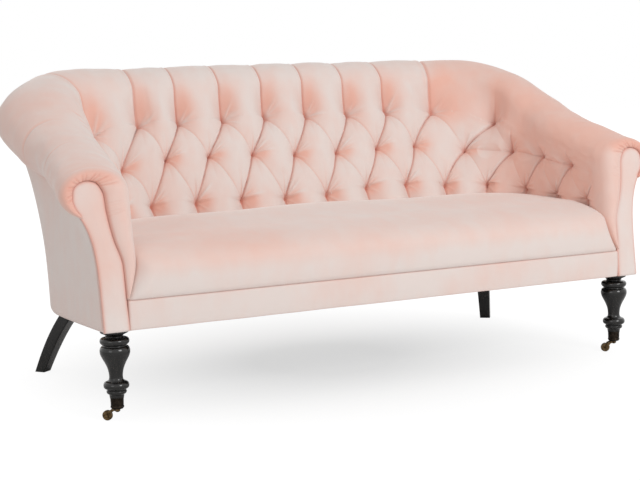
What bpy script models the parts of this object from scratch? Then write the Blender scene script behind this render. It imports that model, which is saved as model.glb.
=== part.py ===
"""Rolled-arm settee with a diamond-tufted back, on turned front legs with casters.

Metres, +Z up, +X to the right seen from the front, -Y to the front.
The origin is on the floor under the middle of the settee.
The back and the arms are one shell. A place on it is given by a column c, counted in
tufts from the middle, a distance r outward from the corner centres, and a height z.
"""
import math

import bmesh
import bpy

for old in list(bpy.data.objects):
    bpy.data.objects.remove(old, do_unlink=True)

# Clearances
GAP = 0.0003
SOFT_GAP = 0.0010
CURVE_GAP = 0.0018
SEAT_GAP = 0.0020
CORE_GAP = 0.0030
CORNER_SEAT_GAP = 0.0014

# Plan of the shell
TUFT_PITCH = 0.1355
ARM_PITCH = 0.1495
CORNER_Y = -0.109
BACK_COLUMNS = 3.17
CORNER_COLUMNS = 2.83
ARM_COLUMNS = 2.0
CORNER_EASE_share = 0.06
CORNER_X = TUFT_PITCH * BACK_COLUMNS
C_ARM = BACK_COLUMNS + CORNER_COLUMNS
C_END = C_ARM + ARM_COLUMNS
ARM_FRONT_Y = CORNER_Y - ARM_COLUMNS * ARM_PITCH
FRONT_LEAN_share = 0.135

# Heights
BASE_Z = 0.225
SEAM_Z = 0.2974
LOW_Z = 0.440
PAD_FOOT_Z = 0.335
FRONT_FOOT_Z = 0.303
BACK_TOP_Z = 0.846
ARM_TOP_Z = 0.615

# Roll: half width, half height and reach from the corner centres
BACK_ROLL_HALF = 0.108
CORNER_ROLL_HALF = 0.125
ARM_ROLL_HALF = 0.088
ARM_ROLL_RISE = 0.0625
BACK_REACH = 0.538
CORNER_REACH = 0.590
ARM_REACH = 0.440
BACK_SPAN = 0.380
ARM_SPAN = 0.176
BACK_LOW = BACK_REACH - BACK_SPAN
ARM_LOW = ARM_REACH - ARM_SPAN

# How those sizes run along the shell, from the middle of the back to the arm's front
station_shares = (0.0, 0.40, 0.49, 0.575, 0.66, 0.75, 0.87, 1.0)
top_shares = (1.0, 1.0, 0.985, 0.80, 0.52, 0.315, 0.16, 0.0)
rise_shares = (1.0, 1.0, 0.85, 0.55, 0.30, 0.10, 0.03, 0.0)
back_width_shares = (1.0, 1.0, 0.15, 0.0, 0.0, 0.0, 0.0, 0.0)
corner_width_shares = (0.0, 0.0, 0.85, 1.0, 0.40, 0.0, 0.0, 0.0)
back_reach_shares = (1.0, 1.0, 0.05, 0.20, 0.03, -0.25, -0.16, 0.0)
corner_reach_shares = (0.0, 0.0, 0.95, 0.57, 0.13, 0.0, 0.0, 0.0)
low_shares = (0.0, 0.0, 0.065, 0.24, 0.518, 0.76, 0.88, 1.0)

# Tuft rows
LOWER_ROW_Z = 0.468
LOWER_ROW_FRONT_Z = 0.436
UPPER_ROW_Z = 0.579
UPPER_ROW_FRONT_Z = 0.509
row_fall_shares = (0.0, 0.0, 0.02, 0.08, 0.35, 0.62, 0.85, 1.0)
upper_fall_shares = (0.0, 0.0, 0.28, 0.34, 0.34, 0.44, 0.66, 1.0)
TOP_ROW_share = 0.345
TUFT_DEPTH = 0.044
LOWER_TUFT_share = 0.62
MIDDLE_TUFT_share = 0.82
ARM_TUFT_share = 0.68
LAST_TOP_TUFT = 4.5
FIRST_ARM_CHANNEL = 5.0
ROLL_FOLD_share = 0.16
LEVEL_FOLD_share = 0.46

# Thickness of the stuffing behind the envelope: inside face, top of the roll, outer side
BACK_STUFFING = 0.062
ARM_STUFFING = 0.050
BACK_ROLL_STUFFING = 0.045
ARM_ROLL_STUFFING = 0.024
ROLL_TAIL_share = 0.85

# The inside of the stuffing at the arm's front end, as shares of the arm's reach and of its top
FRONT_FROM_share = 6.8
ROW_STEP_share = 0.02
front_rows_share = (0, 0.5, 1, 1.5, 2, 2.6, 3.2, 3.6, 4, 4.5, 5, 5.4, 5.7, 6)
front_r_shares = (0.677, 0.682, 0.723, 0.741, 0.752, 0.757, 0.777, 0.805, 0.846, 0.891, 0.928, 0.933,
                  0.909, 0.833)
front_z_shares = (0.493, 0.616, 0.724, 0.787, 0.846, 0.891, 0.927, 0.945, 0.950, 0.943, 0.914, 0.878,
                  0.833, 0.807)
ROLL_END_ANGLE = math.radians(-80)
WAIST_ANGLE = math.radians(-62)

# Outside covers and frame
COVER = 0.012
BACK_FLARE = 0.138
ARM_FLARE = 0.080
BASE_BACK = BACK_REACH - BACK_FLARE
BASE_ARM = ARM_REACH - ARM_FLARE
base_shares = (1.0, 1.0, 0.85, 0.65, 0.58, 0.55, 0.35, 0.0)
COVER_BELLY_share = 0.30
FRONT_BELLY_share = 0.06
FRONT_BEND_share = 5.0
RAIL_WIDTH = 0.040
RAIL_BOTTOM_Z = 0.2275
RAIL_TOP_Z = 0.290
FRONT_Y = -0.414
RIB = 0.022
SPLIT = 4.5
TUFT_STEPS = 6
INNER_STEP = 6
FRONT_STEP = 2
FACING = 0.014
FACING_WIDTH = 0.064
FACING_FOOT = BASE_ARM - FACING_WIDTH
COVER_ROWS = 4
CORNER_STEPS = 16
ARM_STEPS = 4
ARM_CORE_STEPS = 12

# Rows of the inner skin, shared by what lies against it
foot_rows_share = (0.0, 0.6, 1.2, 1.8, 2.4, 2.9, 3.35)
core_rows_share = (3.35, 3.7, 4.0, 4.35, 4.7, 5.05, 5.4, 5.7)

# Colours
VELVET = (0.80, 0.50, 0.42)
ASH = (0.62, 0.45, 0.28)
EBONY = (0.020, 0.018, 0.018)
BRASS = (0.22, 0.15, 0.07)
STEEL = (0.35, 0.35, 0.36)
CLOTH = (0.05, 0.05, 0.055)
FELT = (0.55, 0.53, 0.48)


def material(name, colour, roughness, metallic):
    mat = bpy.data.materials.get(name)
    if mat is None:
        mat = bpy.data.materials.new(name)
        mat.use_nodes = True
        bsdf = mat.node_tree.nodes["Principled BSDF"]
        bsdf.inputs["Base Color"].default_value = (*colour, 1.0)
        bsdf.inputs["Roughness"].default_value = roughness
        bsdf.inputs["Metallic"].default_value = metallic
    return mat


def finish(name, bm, mat, smooth=False, location=(0, 0, 0)):
    bmesh.ops.recalc_face_normals(bm, faces=bm.faces)
    mesh = bpy.data.meshes.new(name)
    bm.to_mesh(mesh)
    bm.free()
    if smooth:
        mesh.shade_smooth()
        mesh.set_sharp_from_angle(angle=math.radians(40))
    mesh.materials.append(material(*mat))
    obj = bpy.data.objects.new(name, mesh)
    obj.location = location
    bpy.context.scene.collection.objects.link(obj)
    return obj


def along(xs, ys, x):
    """Monotone cubic through the stations, flat where two neighbours are equal."""
    n = len(xs)
    d = [(ys[i + 1] - ys[i]) / (xs[i + 1] - xs[i]) for i in range(n - 1)]
    m = [0.0] * n
    for i in range(1, n - 1):
        if d[i - 1] * d[i] > 0:
            h0, h1 = xs[i] - xs[i - 1], xs[i + 1] - xs[i]
            w1, w2 = 2 * h1 + h0, h1 + 2 * h0
            m[i] = (w1 + w2) / (w1 / d[i - 1] + w2 / d[i])
    m[-1] = d[-1]
    x = min(max(x, xs[0]), xs[-1])
    i = 0
    while i < n - 2 and x > xs[i + 1]:
        i += 1
    h = xs[i + 1] - xs[i]
    t = (x - xs[i]) / h
    return ((2 * t**3 - 3 * t**2 + 1) * ys[i] + (t**3 - 2 * t**2 + t) * h * m[i]
            + (3 * t**2 - 2 * t**3) * ys[i + 1] + (t**3 - t**2) * h * m[i + 1])


def share(values, c):
    return along(station_shares, values, abs(c) / C_END)


def ease(u):
    u = min(max(u, 0.0), 1.0)
    return u * u * (3 - 2 * u)


def station(c):
    """Sizes of the shell's section at column c."""
    rise = ARM_ROLL_RISE + (BACK_ROLL_HALF - ARM_ROLL_RISE) * share(rise_shares, c)
    half = (ARM_ROLL_HALF + (BACK_ROLL_HALF - ARM_ROLL_HALF) * share(back_width_shares, c)
            + (CORNER_ROLL_HALF - ARM_ROLL_HALF) * share(corner_width_shares, c))
    reach = (ARM_REACH + (BACK_REACH - ARM_REACH) * share(back_reach_shares, c)
             + (CORNER_REACH - ARM_REACH) * share(corner_reach_shares, c))
    top = ARM_TOP_Z + (BACK_TOP_Z - ARM_TOP_Z) * share(top_shares, c)
    low = BACK_LOW + (ARM_LOW - BACK_LOW) * share(low_shares, c)
    mid_r, mid_z = reach - half, top - rise
    dx, dz = (mid_r - low) * rise / half, mid_z - LOW_Z
    start = math.atan2(dz, dx) + math.asin(rise / math.hypot(dx, dz)) + math.pi / 2
    tan_r, tan_z = mid_r + half * math.cos(start), mid_z + rise * math.sin(start)
    run = math.hypot(tan_r - low, tan_z - LOW_Z)
    lean = math.atan2(tan_z - LOW_Z, tan_r - low)
    lower = LOWER_ROW_Z + (LOWER_ROW_FRONT_Z - LOWER_ROW_Z) * share(row_fall_shares, c)
    upper = UPPER_ROW_Z + (UPPER_ROW_FRONT_Z - UPPER_ROW_Z) * share(upper_fall_shares, c)
    front = ease((abs(c) - FRONT_FROM_share) / (C_END - FRONT_FROM_share))
    arm = ease((abs(c) - BACK_COLUMNS) / CORNER_COLUMNS)
    depth = TUFT_DEPTH * (1 + (ARM_TUFT_share - 1) * arm)
    mean = (half + rise) / 2
    s_low = (lower + LOWER_TUFT_share * depth * math.cos(lean) - LOW_Z) / math.sin(lean)
    s_up = (upper + MIDDLE_TUFT_share * depth * math.cos(lean) - LOW_Z) / math.sin(lean)
    s_top = run + mean * (start - math.pi / 2)
    s_third = s_up + TOP_ROW_share * (s_top - s_up)
    s_out = run + mean * start
    s_end = run + mean * (start - ROLL_END_ANGLE)
    s_foot = (PAD_FOOT_Z + (FRONT_FOOT_Z - PAD_FOOT_Z) * front - LOW_Z) / math.sin(lean)
    stuffing = BACK_STUFFING + (ARM_STUFFING - BACK_STUFFING) * arm
    roll_stuffing = BACK_ROLL_STUFFING + (ARM_ROLL_STUFFING - BACK_ROLL_STUFFING) * arm
    return {"rise": rise, "half": half, "mid_r": mid_r, "mid_z": mid_z, "low": low, "start": start,
            "run": run, "lean": lean, "depth": depth, "mean": mean, "stuffing": stuffing,
            "roll_stuffing": roll_stuffing, "front": front,
            "rows": (s_foot, s_low, s_up, s_third, s_top, s_out, s_end)}


def arc_length(st, v):
    """Rows counted up the shell: 1, 2, 3 are the tuft rows, 4 the top, 5 the outer side."""
    i = min(max(int(v), 0), len(st["rows"]) - 2)
    return st["rows"][i] + (v - i) * (st["rows"][i + 1] - st["rows"][i])


def on_section(st, s, depth):
    if s <= st["run"]:
        cl, sl = math.cos(st["lean"]), math.sin(st["lean"])
        return st["low"] + s * cl + depth * sl, LOW_Z + s * sl - depth * cl
    return on_roll(st, st["start"] - (s - st["run"]) / st["mean"], depth)


def on_roll(st, phi, depth):
    nr, nz = math.cos(phi) / st["half"], math.sin(phi) / st["rise"]
    nl = math.hypot(nr, nz)
    return (st["mid_r"] + st["half"] * math.cos(phi) - depth * nr / nl,
            st["mid_z"] + st["rise"] * math.sin(phi) - depth * nz / nl)


def place(c, r, z):
    k = abs(c)
    sign = 1.0 if c >= 0 else -1.0
    if k <= BACK_COLUMNS:
        return c * TUFT_PITCH, CORNER_Y + r, z
    if k <= C_ARM:
        u = (k - BACK_COLUMNS) / CORNER_COLUMNS
        turn = (u + CORNER_EASE_share * math.sin(math.pi * u)) * math.pi / 2
        return sign * (CORNER_X + r * math.sin(turn)), CORNER_Y + r * math.cos(turn), z
    w = ease((k - C_ARM) / ARM_COLUMNS)
    y = CORNER_Y - (k - C_ARM) * ARM_PITCH + (z - BASE_Z) * FRONT_LEAN_share * w
    return sign * (CORNER_X + r), y, z


def stuffing(st, v):
    t = st["stuffing"] + (st["roll_stuffing"] - st["stuffing"]) * ease((v - 2.5) / 1.5)
    return t * (1 + (ROLL_TAIL_share - 1) * ease(v - 4))


def lining(st, v):
    """Inside of the stuffing at row v; the front line takes over towards the arm's end."""
    r, z = on_section(st, arc_length(st, v), stuffing(st, v))
    with_roll = ease((v - 1) / 2)
    front_r = (ARM_REACH * along(front_rows_share, front_r_shares, v)
               + (st["mid_r"] + st["half"] - ARM_REACH) * with_roll)
    front_z = (ARM_TOP_Z * along(front_rows_share, front_z_shares, v)
               + (st["mid_z"] + st["rise"] - ARM_TOP_Z) * with_roll)
    return r + (front_r - r) * st["front"], z + (front_z - z) * st["front"]


def behind(st, v, gap):
    """Place at the given gap behind the stuffing."""
    (r0, z0), (r, z), (r1, z1) = [lining(st, u) for u in (v - ROW_STEP_share, v, v + ROW_STEP_share)]
    length = math.hypot(r1 - r0, z1 - z0)
    return r + gap * (z1 - z0) / length, z - gap * (r1 - r0) / length


def beside(st, gap):
    """Two places beside the edge where the stuffing ends under the roll."""
    outer, inner = on_roll(st, ROLL_END_ANGLE, -gap * 2), lining(st, len(st["rows"]) - 1)
    length = math.hypot(inner[0] - outer[0], inner[1] - outer[1])
    dr, dz = (outer[1] - inner[1]) * gap / length, (inner[0] - outer[0]) * gap / length
    return [(inner[0] + dr, inner[1] + dz), (outer[0] + dr, outer[1] + dz)]


def ridge(x, power):
    return abs(math.sin(math.pi * x)) ** power


def tuft(c, v):
    """Share of the tuft depth at column c and row v: diamonds, then channels over the roll."""
    k = abs(c)
    back = 1 - ease((k - LAST_TOP_TUFT) / (FIRST_ARM_CHANNEL - LAST_TOP_TUFT))
    front = 1 - ease((k - C_END + 0.55) / 0.5)
    p, q = k + (v - 2) / 2, k - (v - 2) / 2
    h = ridge(p, 0.55) * ridge(q, 0.55)
    diamond = (1 - h) * (1 - 0.45 * max(ridge(p, 2), ridge(q, 2)))
    half_channel = 1 - ridge(k - 0.5, 0.6)
    arm_channel = 1 - ridge(k, 0.6)
    row = LOWER_TUFT_share + (MIDDLE_TUFT_share - LOWER_TUFT_share) * (v - 1) if v < 2 else (
        MIDDLE_TUFT_share + (1 - MIDDLE_TUFT_share) * min(v - 2, 1))
    if v < 1:
        return LOWER_TUFT_share * 0.6 * half_channel * ease(v * 1.4) * front
    if v < 2:
        return row * diamond * front
    over_roll = ROLL_FOLD_share * (1 + 1.75 * ease(4 - v)) if v < 4 else ROLL_FOLD_share * (6 - v) / 2
    on_back = diamond if v <= 3 else half_channel * over_roll
    on_arm = arm_channel * (1 - ease(v - 2)) * 0.8
    level = LEVEL_FOLD_share * ridge(k, 1) * max(1 - (v - 2) * 2, 0) if LAST_TOP_TUFT <= k <= C_END - 1 else 0
    return row * (on_back * back + max(on_arm, level) * (1 - back)) * front


def sweep(name, sections, mat, smooth=False):
    """Closed solid through rings of (c, r, z) places, with flat ends."""
    bm = bmesh.new()
    rings = [[bm.verts.new(place(*p)) for p in ring] for ring in sections]
    n = len(rings[0])
    for a, b in zip(rings[:-1], rings[1:]):
        for i in range(n):
            j = (i + 1) % n
            bm.faces.new((a[i], a[j], b[j], b[i]))
    bm.faces.new(rings[0])
    bm.faces.new(list(reversed(rings[-1])))
    return finish(name, bm, mat, smooth)


def steps(a, b, n):
    return [a + (b - a) * i / n for i in range(n + 1)]


def pad(name, columns, skin_rows, inner_rows):
    """Tufted stuffing: an outer skin with tufts, a coarser inner skin, rims and flat ends."""
    bm = bmesh.new()
    outer, inner, kept = [], [], []
    for k, c in enumerate(columns):
        st = station(min(abs(c), C_END))
        outer.append([bm.verts.new(place(c, *on_section(st, arc_length(st, v), st["depth"] * tuft(c, v))))
                      for v in skin_rows])
        bends = BACK_COLUMNS - 1 / TUFT_STEPS < abs(c) < C_ARM + 1 / TUFT_STEPS
        ends = k == 0 or abs(c) > C_END - 1 / TUFT_STEPS or k == len(columns) - 1
        fronts = abs(c) > C_ARM and k % FRONT_STEP == 1
        if bends or ends or fronts or k % INNER_STEP == 0:
            kept.append(k)
            inner.append([bm.verts.new(place(c, *lining(st, v))) for v in inner_rows])
    for grid in (outer, inner):
        for a, b in zip(grid[:-1], grid[1:]):
            for i in range(len(a) - 1):
                bm.faces.new((a[i], a[i + 1], b[i + 1], b[i]))
    for (i, a), (j, b) in zip(zip(kept[:-1], inner[:-1]), zip(kept[1:], inner[1:])):
        for e in (0, -1):
            bm.faces.new([outer[k][e] for k in range(i, j + 1)] + [b[e], a[e]])
    for k in (0, -1):
        bm.faces.new(outer[k] + list(reversed(inner[k])))
    return finish(name, bm, ("velvet", VELVET, 0.85, 0.0), True)


def cover_r(c, z):
    """Outer surface of the outside covers."""
    st = station(c)
    base = BASE_ARM + (BASE_BACK - BASE_ARM) * share(base_shares, c)
    waist_r, waist_z = on_roll(st, WAIST_ANGLE, 0)
    u = (z - BASE_Z) / (waist_z - BASE_Z)
    belly = COVER_BELLY_share + (FRONT_BELLY_share - COVER_BELLY_share) * st["front"]
    bend = 2 + (FRONT_BEND_share - 2) * st["front"]
    return base + (waist_r - base) * (belly * u + (1 - belly) * max(u, 0) ** bend)


def under_roll(c, r, gap):
    """Height of the roll's underside over distance r."""
    st = station(c)
    q = min(max((r - st["mid_r"]) / (st["half"] + gap), -1.0), 1.0)
    return st["mid_z"] - (st["rise"] + gap) * math.sqrt(1 - q * q)


def cover_section(c):
    st = station(c)
    waist_r, _ = on_roll(st, WAIST_ANGLE, 0)
    ring = []
    top_out = under_roll(c, waist_r, GAP * 2)
    for i in range(COVER_ROWS + 1):
        z = BASE_Z + (top_out - BASE_Z) * i / COVER_ROWS
        ring.append((c, cover_r(c, z), z))
    in_r = cover_r(c, top_out) - COVER
    top_in = under_roll(c, in_r, GAP * 2)
    for i in range(COVER_ROWS, -1, -1):
        z = BASE_Z + (top_in - BASE_Z) * i / COVER_ROWS
        ring.append((c, cover_r(c, min(z, top_out)) - COVER, z))
    return ring


def hollow(c, gap, foot_r, foot_z, to_cover=False, core_gap=0.0, seat=0.0):
    """Outline of what fills the shell between the stuffing and the outside cover."""
    st = station(min(abs(c), C_END))
    ring = [(c, foot_r, foot_z)]
    for v in foot_rows_share:
        ring.append((c, *behind(st, v, gap)))
    if not core_gap:
        for v in core_rows_share[1:]:
            ring.append((c, *behind(st, v, gap)))
    else:
        first, last = [behind(st, v, core_gap) for v in (core_rows_share[0], core_rows_share[-1])]
        ring[-1] = (c, ring[-1][1], min(ring[-1][2], first[1]) - seat)
        ring.append((c, last[0], last[1] - seat))
    ring += [(c, *p) for p in beside(st, gap)]
    waist_r, _ = on_roll(st, WAIST_ANGLE, 0)
    if to_cover:
        z = under_roll(c, waist_r, gap * 2)
        mid = (ring[-1][1] + waist_r) / 2
        ring.append((c, mid, under_roll(c, mid, gap * 2)))
        outer = [(c, waist_r, z)]
        for i in range(5, -1, -1):
            zz = BASE_Z + (z - BASE_Z) * i / 6
            outer.append((c, cover_r(c, zz), zz))
        ring += outer
    else:
        top = under_roll(c, waist_r, GAP * 2)
        r = cover_r(c, top) - COVER - gap
        r = cover_r(c, under_roll(c, r, gap * 2)) - COVER - gap
        ring.append((c, r, under_roll(c, r, gap * 2)))
        for i in range(4, -1, -1):
            z = foot_z + (top - foot_z) * i / 5
            ring.append((c, cover_r(c, z) - COVER - gap, z))
    return ring


def rail_ring(c, inner, z0, z1, clear=GAP):
    base = min(cover_r(c, BASE_Z), cover_r(c, RAIL_TOP_Z)) - COVER - clear
    return [(c, base - inner, z0), (c, base, z0), (c, base, z1), (c, base - inner, z1)]


def box(name, x0, x1, y0, y1, z0, z1, mat, bevel=0.0):
    bm = bmesh.new()
    v = [bm.verts.new((x, y, z)) for z in (z0, z1) for y in (y0, y1) for x in (x0, x1)]
    for f in ((0, 1, 3, 2), (4, 6, 7, 5), (0, 4, 5, 1), (1, 5, 7, 3), (3, 7, 6, 2), (2, 6, 4, 0)):
        bm.faces.new([v[i] for i in f])
    obj = finish(name, bm, mat)
    if bevel:
        mod = obj.modifiers.new("Bevel", "BEVEL")
        mod.width = bevel
        mod.segments = 2
    return obj


def lathe(name, profile, sides, mat, location=(0, 0, 0)):
    """Solid of revolution about the local Z axis from (radius, height), closed on the axis."""
    bm = bmesh.new()
    rings = []
    for radius, z in profile:
        rings.append([bm.verts.new((radius * math.cos(2 * math.pi * i / sides),
                                    radius * math.sin(2 * math.pi * i / sides), z))
                      for i in range(sides)])
    for a, b in zip(rings[:-1], rings[1:]):
        for i in range(sides):
            j = (i + 1) % sides
            bm.faces.new((a[i], a[j], b[j], b[i]))
    bm.faces.new(rings[0])
    bm.faces.new(list(reversed(rings[-1])))
    return finish(name, bm, mat, True, location)


WOOD = ("ash frame", ASH, 0.6, 0.0)
FABRIC = ("velvet", VELVET, 0.85, 0.0)
BLACK_WOOD = ("ebonised wood", EBONY, 0.35, 0.0)
OLD_BRASS = ("antique brass", BRASS, 0.4, 1.0)
SPRING_STEEL = ("spring steel", STEEL, 0.4, 1.0)
SIDES = ((-1, "left"), (1, "right"))

# Stuffed back and arms
SEAM = GAP / TUFT_PITCH
ARM_SEAM = GAP / ARM_PITCH
skin = [0, 0.5] + steps(1, 4, 9) + [4.5, 5.0, 5.5, 6.0]
inside = foot_rows_share + core_rows_share[1:] + (6.0,)
pad("back_pad", steps(-SPLIT + SEAM, SPLIT - SEAM, round(2 * SPLIT * TUFT_STEPS)), skin, inside)
END_C = C_END + (FACING - GAP) / ARM_PITCH
for sign, side in SIDES:
    columns = steps(SPLIT + SEAM, C_END, round((C_END - SPLIT) * TUFT_STEPS)) + steps(C_END, END_C, 2)[1:]
    pad(f"arm_pad_{side}", [sign * c for c in columns], skin, inside)

# Outside covers
back_columns = [sign * c for sign, _ in SIDES for c in steps(SPLIT - SEAM, BACK_COLUMNS, 8)]
sweep("outside_back", [cover_section(c) for c in sorted(back_columns)], FABRIC, True)
for sign, side in SIDES:
    cs = steps(SPLIT + SEAM, C_ARM, 8) + steps(C_ARM, C_END - ARM_SEAM, ARM_STEPS)[1:]
    sweep(f"outside_arm_{side}", [cover_section(sign * c) for c in cs], FABRIC, True)

# Arm facings: the keyhole-shaped front panels
for sign, side in SIDES:
    rings = [hollow(sign * c, GAP * 2, FACING_FOOT, BASE_Z, to_cover=True) for c in (C_END, END_C)]
    sweep(f"arm_facing_{side}", rings, FABRIC, True)


# Frame: seat rails
def rail(name, c0, c1, n, clear=SOFT_GAP):
    sweep(name, [rail_ring(c, RAIL_WIDTH, RAIL_BOTTOM_Z, RAIL_TOP_Z, clear) for c in steps(c0, c1, n)], WOOD)


rail("seat_rail_back", -BACK_COLUMNS, BACK_COLUMNS, 1)
for sign, side in SIDES:
    rail(f"corner_rail_{side}", sign * (BACK_COLUMNS + 2 * SEAM), sign * (C_ARM - 2 * SEAM), CORNER_STEPS,
         CURVE_GAP)
    rail(f"seat_rail_{side}", sign * C_ARM, sign * (C_END - 2 * ARM_SEAM), ARM_STEPS)

FRONT_RAIL = 0.028
BORDER_EDGE = 0.003
SIDE_RAIL_IN = CORNER_X + BASE_ARM - COVER - SOFT_GAP - RAIL_WIDTH
FRONT_RAIL_Y = ARM_FRONT_Y + (RAIL_TOP_Z - BASE_Z) * FRONT_LEAN_share + 2 * GAP
box("seat_rail_front", -SIDE_RAIL_IN + GAP, SIDE_RAIL_IN - GAP, FRONT_RAIL_Y, FRONT_RAIL_Y + FRONT_RAIL,
    RAIL_BOTTOM_Z, RAIL_TOP_Z, WOOD)
BORDER_X = CORNER_X + FACING_FOOT - GAP
box("front_border", -BORDER_X, BORDER_X, FRONT_Y, FRONT_RAIL_Y - GAP, BASE_Z, SEAM_Z, FABRIC,
    BORDER_EDGE)

SPRING_RAIL_Y = 0.041
SPRING_RAIL = 0.045
SPRING_RAIL_DROP = 0.040
corner_base = min(cover_r(c, BASE_Z) for c in steps(BACK_COLUMNS, C_ARM, 8)) - COVER - SOFT_GAP - RAIL_WIDTH
half_step = math.pi / 4 / CORNER_STEPS * (1 + CORNER_EASE_share * math.pi)
reach = corner_base * math.cos(half_step) - GAP
bm = bmesh.new()
ring = []
for y in (SPRING_RAIL_Y, SPRING_RAIL_Y + SPRING_RAIL):
    x = CORNER_X + math.sqrt(reach * reach - (y - CORNER_Y) ** 2)
    ring.append((x, y))
low = [bm.verts.new((sx * x, y, RAIL_TOP_Z - SPRING_RAIL_DROP)) for x, y, sx in
       ((*ring[0], -1), (*ring[0], 1), (*ring[1], 1), (*ring[1], -1))]
high = [bm.verts.new((v.co.x, v.co.y, RAIL_TOP_Z)) for v in low]
for i in range(4):
    j = (i + 1) % 4
    bm.faces.new((low[i], low[j], high[j], high[i]))
bm.faces.new(low)
bm.faces.new(list(reversed(high)))
finish("spring_rail", bm, WOOD)


# Frame: cores of the roll and profile ribs
def core(name, c0, c1, n):
    rings = []
    for c in steps(c0, c1, n):
        st = station(c)
        rings.append([(c, *behind(st, v, CORE_GAP)) for v in core_rows_share])
    sweep(name, rings, WOOD, True)


core("crest_core", -BACK_COLUMNS, BACK_COLUMNS, 2)
for sign, side in SIDES:
    core(f"corner_core_{side}", sign * (BACK_COLUMNS + 2 * SEAM), sign * (C_ARM - 2 * SEAM), CORNER_STEPS)
    core(f"arm_core_{side}", sign * C_ARM, sign * (C_END - SEAM), ARM_CORE_STEPS)


def rib(name, c, width, seat=GAP):
    """Profile board: it stands on the rail, follows the stuffing and carries the core."""
    foot_r = cover_r(c, BASE_Z) - COVER - SOFT_GAP - RAIL_WIDTH
    sweep(name, [hollow(cc, CORE_GAP, foot_r, RAIL_TOP_Z + GAP, core_gap=CORE_GAP, seat=seat)
                 for cc in (c - width / 2, c + width / 2)], WOOD)


back_ribs_share = (-2.75, -1.0, 1.0, 2.75)
for i, c in enumerate(back_ribs_share):
    rib(f"back_rib_{i + 1}", c, RIB / TUFT_PITCH)
CORNER_RIB_share = 4.9
for sign, side in SIDES:
    rib(f"corner_rib_{side}", sign * CORNER_RIB_share, RIB / TUFT_PITCH, CORNER_SEAT_GAP)
    rib(f"arm_rib_{side}", sign * (C_END - RIB / ARM_PITCH / 2 - SEAM), RIB / ARM_PITCH, CORNER_SEAT_GAP)

# Seat springs, deck and cushion
WIRE = 0.0019
SPRING_HALF = 0.045
SPRING_BENDS = 9
DECK = 0.003
SPRING_X = 0.255
SPRING_END_share = 0.45
SPRING_FRONT_Y = FRONT_RAIL_Y + FRONT_RAIL * SPRING_END_share
SPRING_BACK_Y = SPRING_RAIL_Y + SPRING_RAIL * SPRING_END_share * SPRING_END_share


def spring(name, x0):
    bm = bmesh.new()
    n = SPRING_BENDS * 4
    rings = []
    for i in range(n + 1):
        t = i / n
        y = SPRING_FRONT_Y + (SPRING_BACK_Y - SPRING_FRONT_Y) * t
        grow = ease(t * SPRING_BENDS) * ease((1 - t) * SPRING_BENDS)
        x = x0 + SPRING_HALF * math.sin(math.pi * SPRING_BENDS * t) * grow
        z = RAIL_TOP_Z + GAP + WIRE
        rings.append((x, y, z))
    loops = []
    for i, p in enumerate(rings):
        a, b = rings[max(i - 1, 0)], rings[min(i + 1, n)]
        tx, ty = b[0] - a[0], b[1] - a[1]
        tl = math.hypot(tx, ty)
        sx, sy = ty / tl, -tx / tl
        loop = []
        for k in range(6):
            a_ = 2 * math.pi * k / 6
            loop.append(bm.verts.new((p[0] + WIRE * math.cos(a_) * sx, p[1] + WIRE * math.cos(a_) * sy,
                                      p[2] + WIRE * math.sin(a_))))
        loops.append(loop)
    for a, b in zip(loops[:-1], loops[1:]):
        for i in range(6):
            j = (i + 1) % 6
            bm.faces.new((a[i], a[j], b[j], b[i]))
    bm.faces.new(loops[0])
    bm.faces.new(list(reversed(loops[-1])))
    finish(name, bm, SPRING_STEEL, True)


for i in range(5):
    spring(f"seat_spring_{i + 1}", (i - 2) * SPRING_X)

DECK_X = 0.640
DECK_BACK_Y = SPRING_BACK_Y + WIRE
DECK_Z = RAIL_TOP_Z + 2 * GAP + 2 * WIRE
box("seat_deck", -DECK_X, DECK_X, FRONT_RAIL_Y, DECK_BACK_Y, DECK_Z, DECK_Z + DECK,
    ("felt deck", FELT, 0.95, 0.0))

SEAT_FRONT_Y = -0.429
SEAT_EDGE_Z = 0.436
SEAT_CROWN = 0.026
SEAT_BOTTOM_Z = DECK_Z + DECK + GAP
seat_rise_shares = (0.0, 0.12, 0.33, 0.54, 0.72, 0.87, 1.0)
seat_in_shares = (0.006, 0.002, 0.0, 0.003, 0.028, 0.072, 0.150)
ring_shares = (0.93, 0.80, 0.60, 0.36)
SIDE_POINTS = 40
FRONT_POINTS = 14
SEAT_SIDE_SET = 0.020
SEAT_CORNER_SET = 0.012
SEAT_CORNER_share = 0.03
SEAT_SPREAD_X = 0.450


def seat_ring(z, inset):
    ring = []
    last_y = SEAT_FRONT_Y + inset + SEAT_SIDE_SET
    last = C_END
    for _ in range(4):
        lean_y = (z - BASE_Z) * FRONT_LEAN_share * ease((last - C_ARM) / ARM_COLUMNS)
        last = min(C_ARM + (CORNER_Y + lean_y - last_y) / ARM_PITCH, C_END)
    for c in steps(-last, last, SIDE_POINTS):
        st = station(c)
        r = st["low"] + (z - LOW_Z) / math.tan(st["lean"]) - SEAT_GAP
        x, y, _ = place(c, r, z)
        ring.append((x, max(y, last_y), z))
    x1 = ring[-1][0]
    y1 = SEAT_FRONT_Y + inset
    for i in range(FRONT_POINTS + 1):
        t = 1 - 2 * i / FRONT_POINTS
        x = x1 * t * (1 - SEAT_CORNER_share * abs(t) ** 6)
        ring.append((x, y1 + SEAT_CORNER_SET * abs(t) ** 8, z))
    return ring


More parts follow.
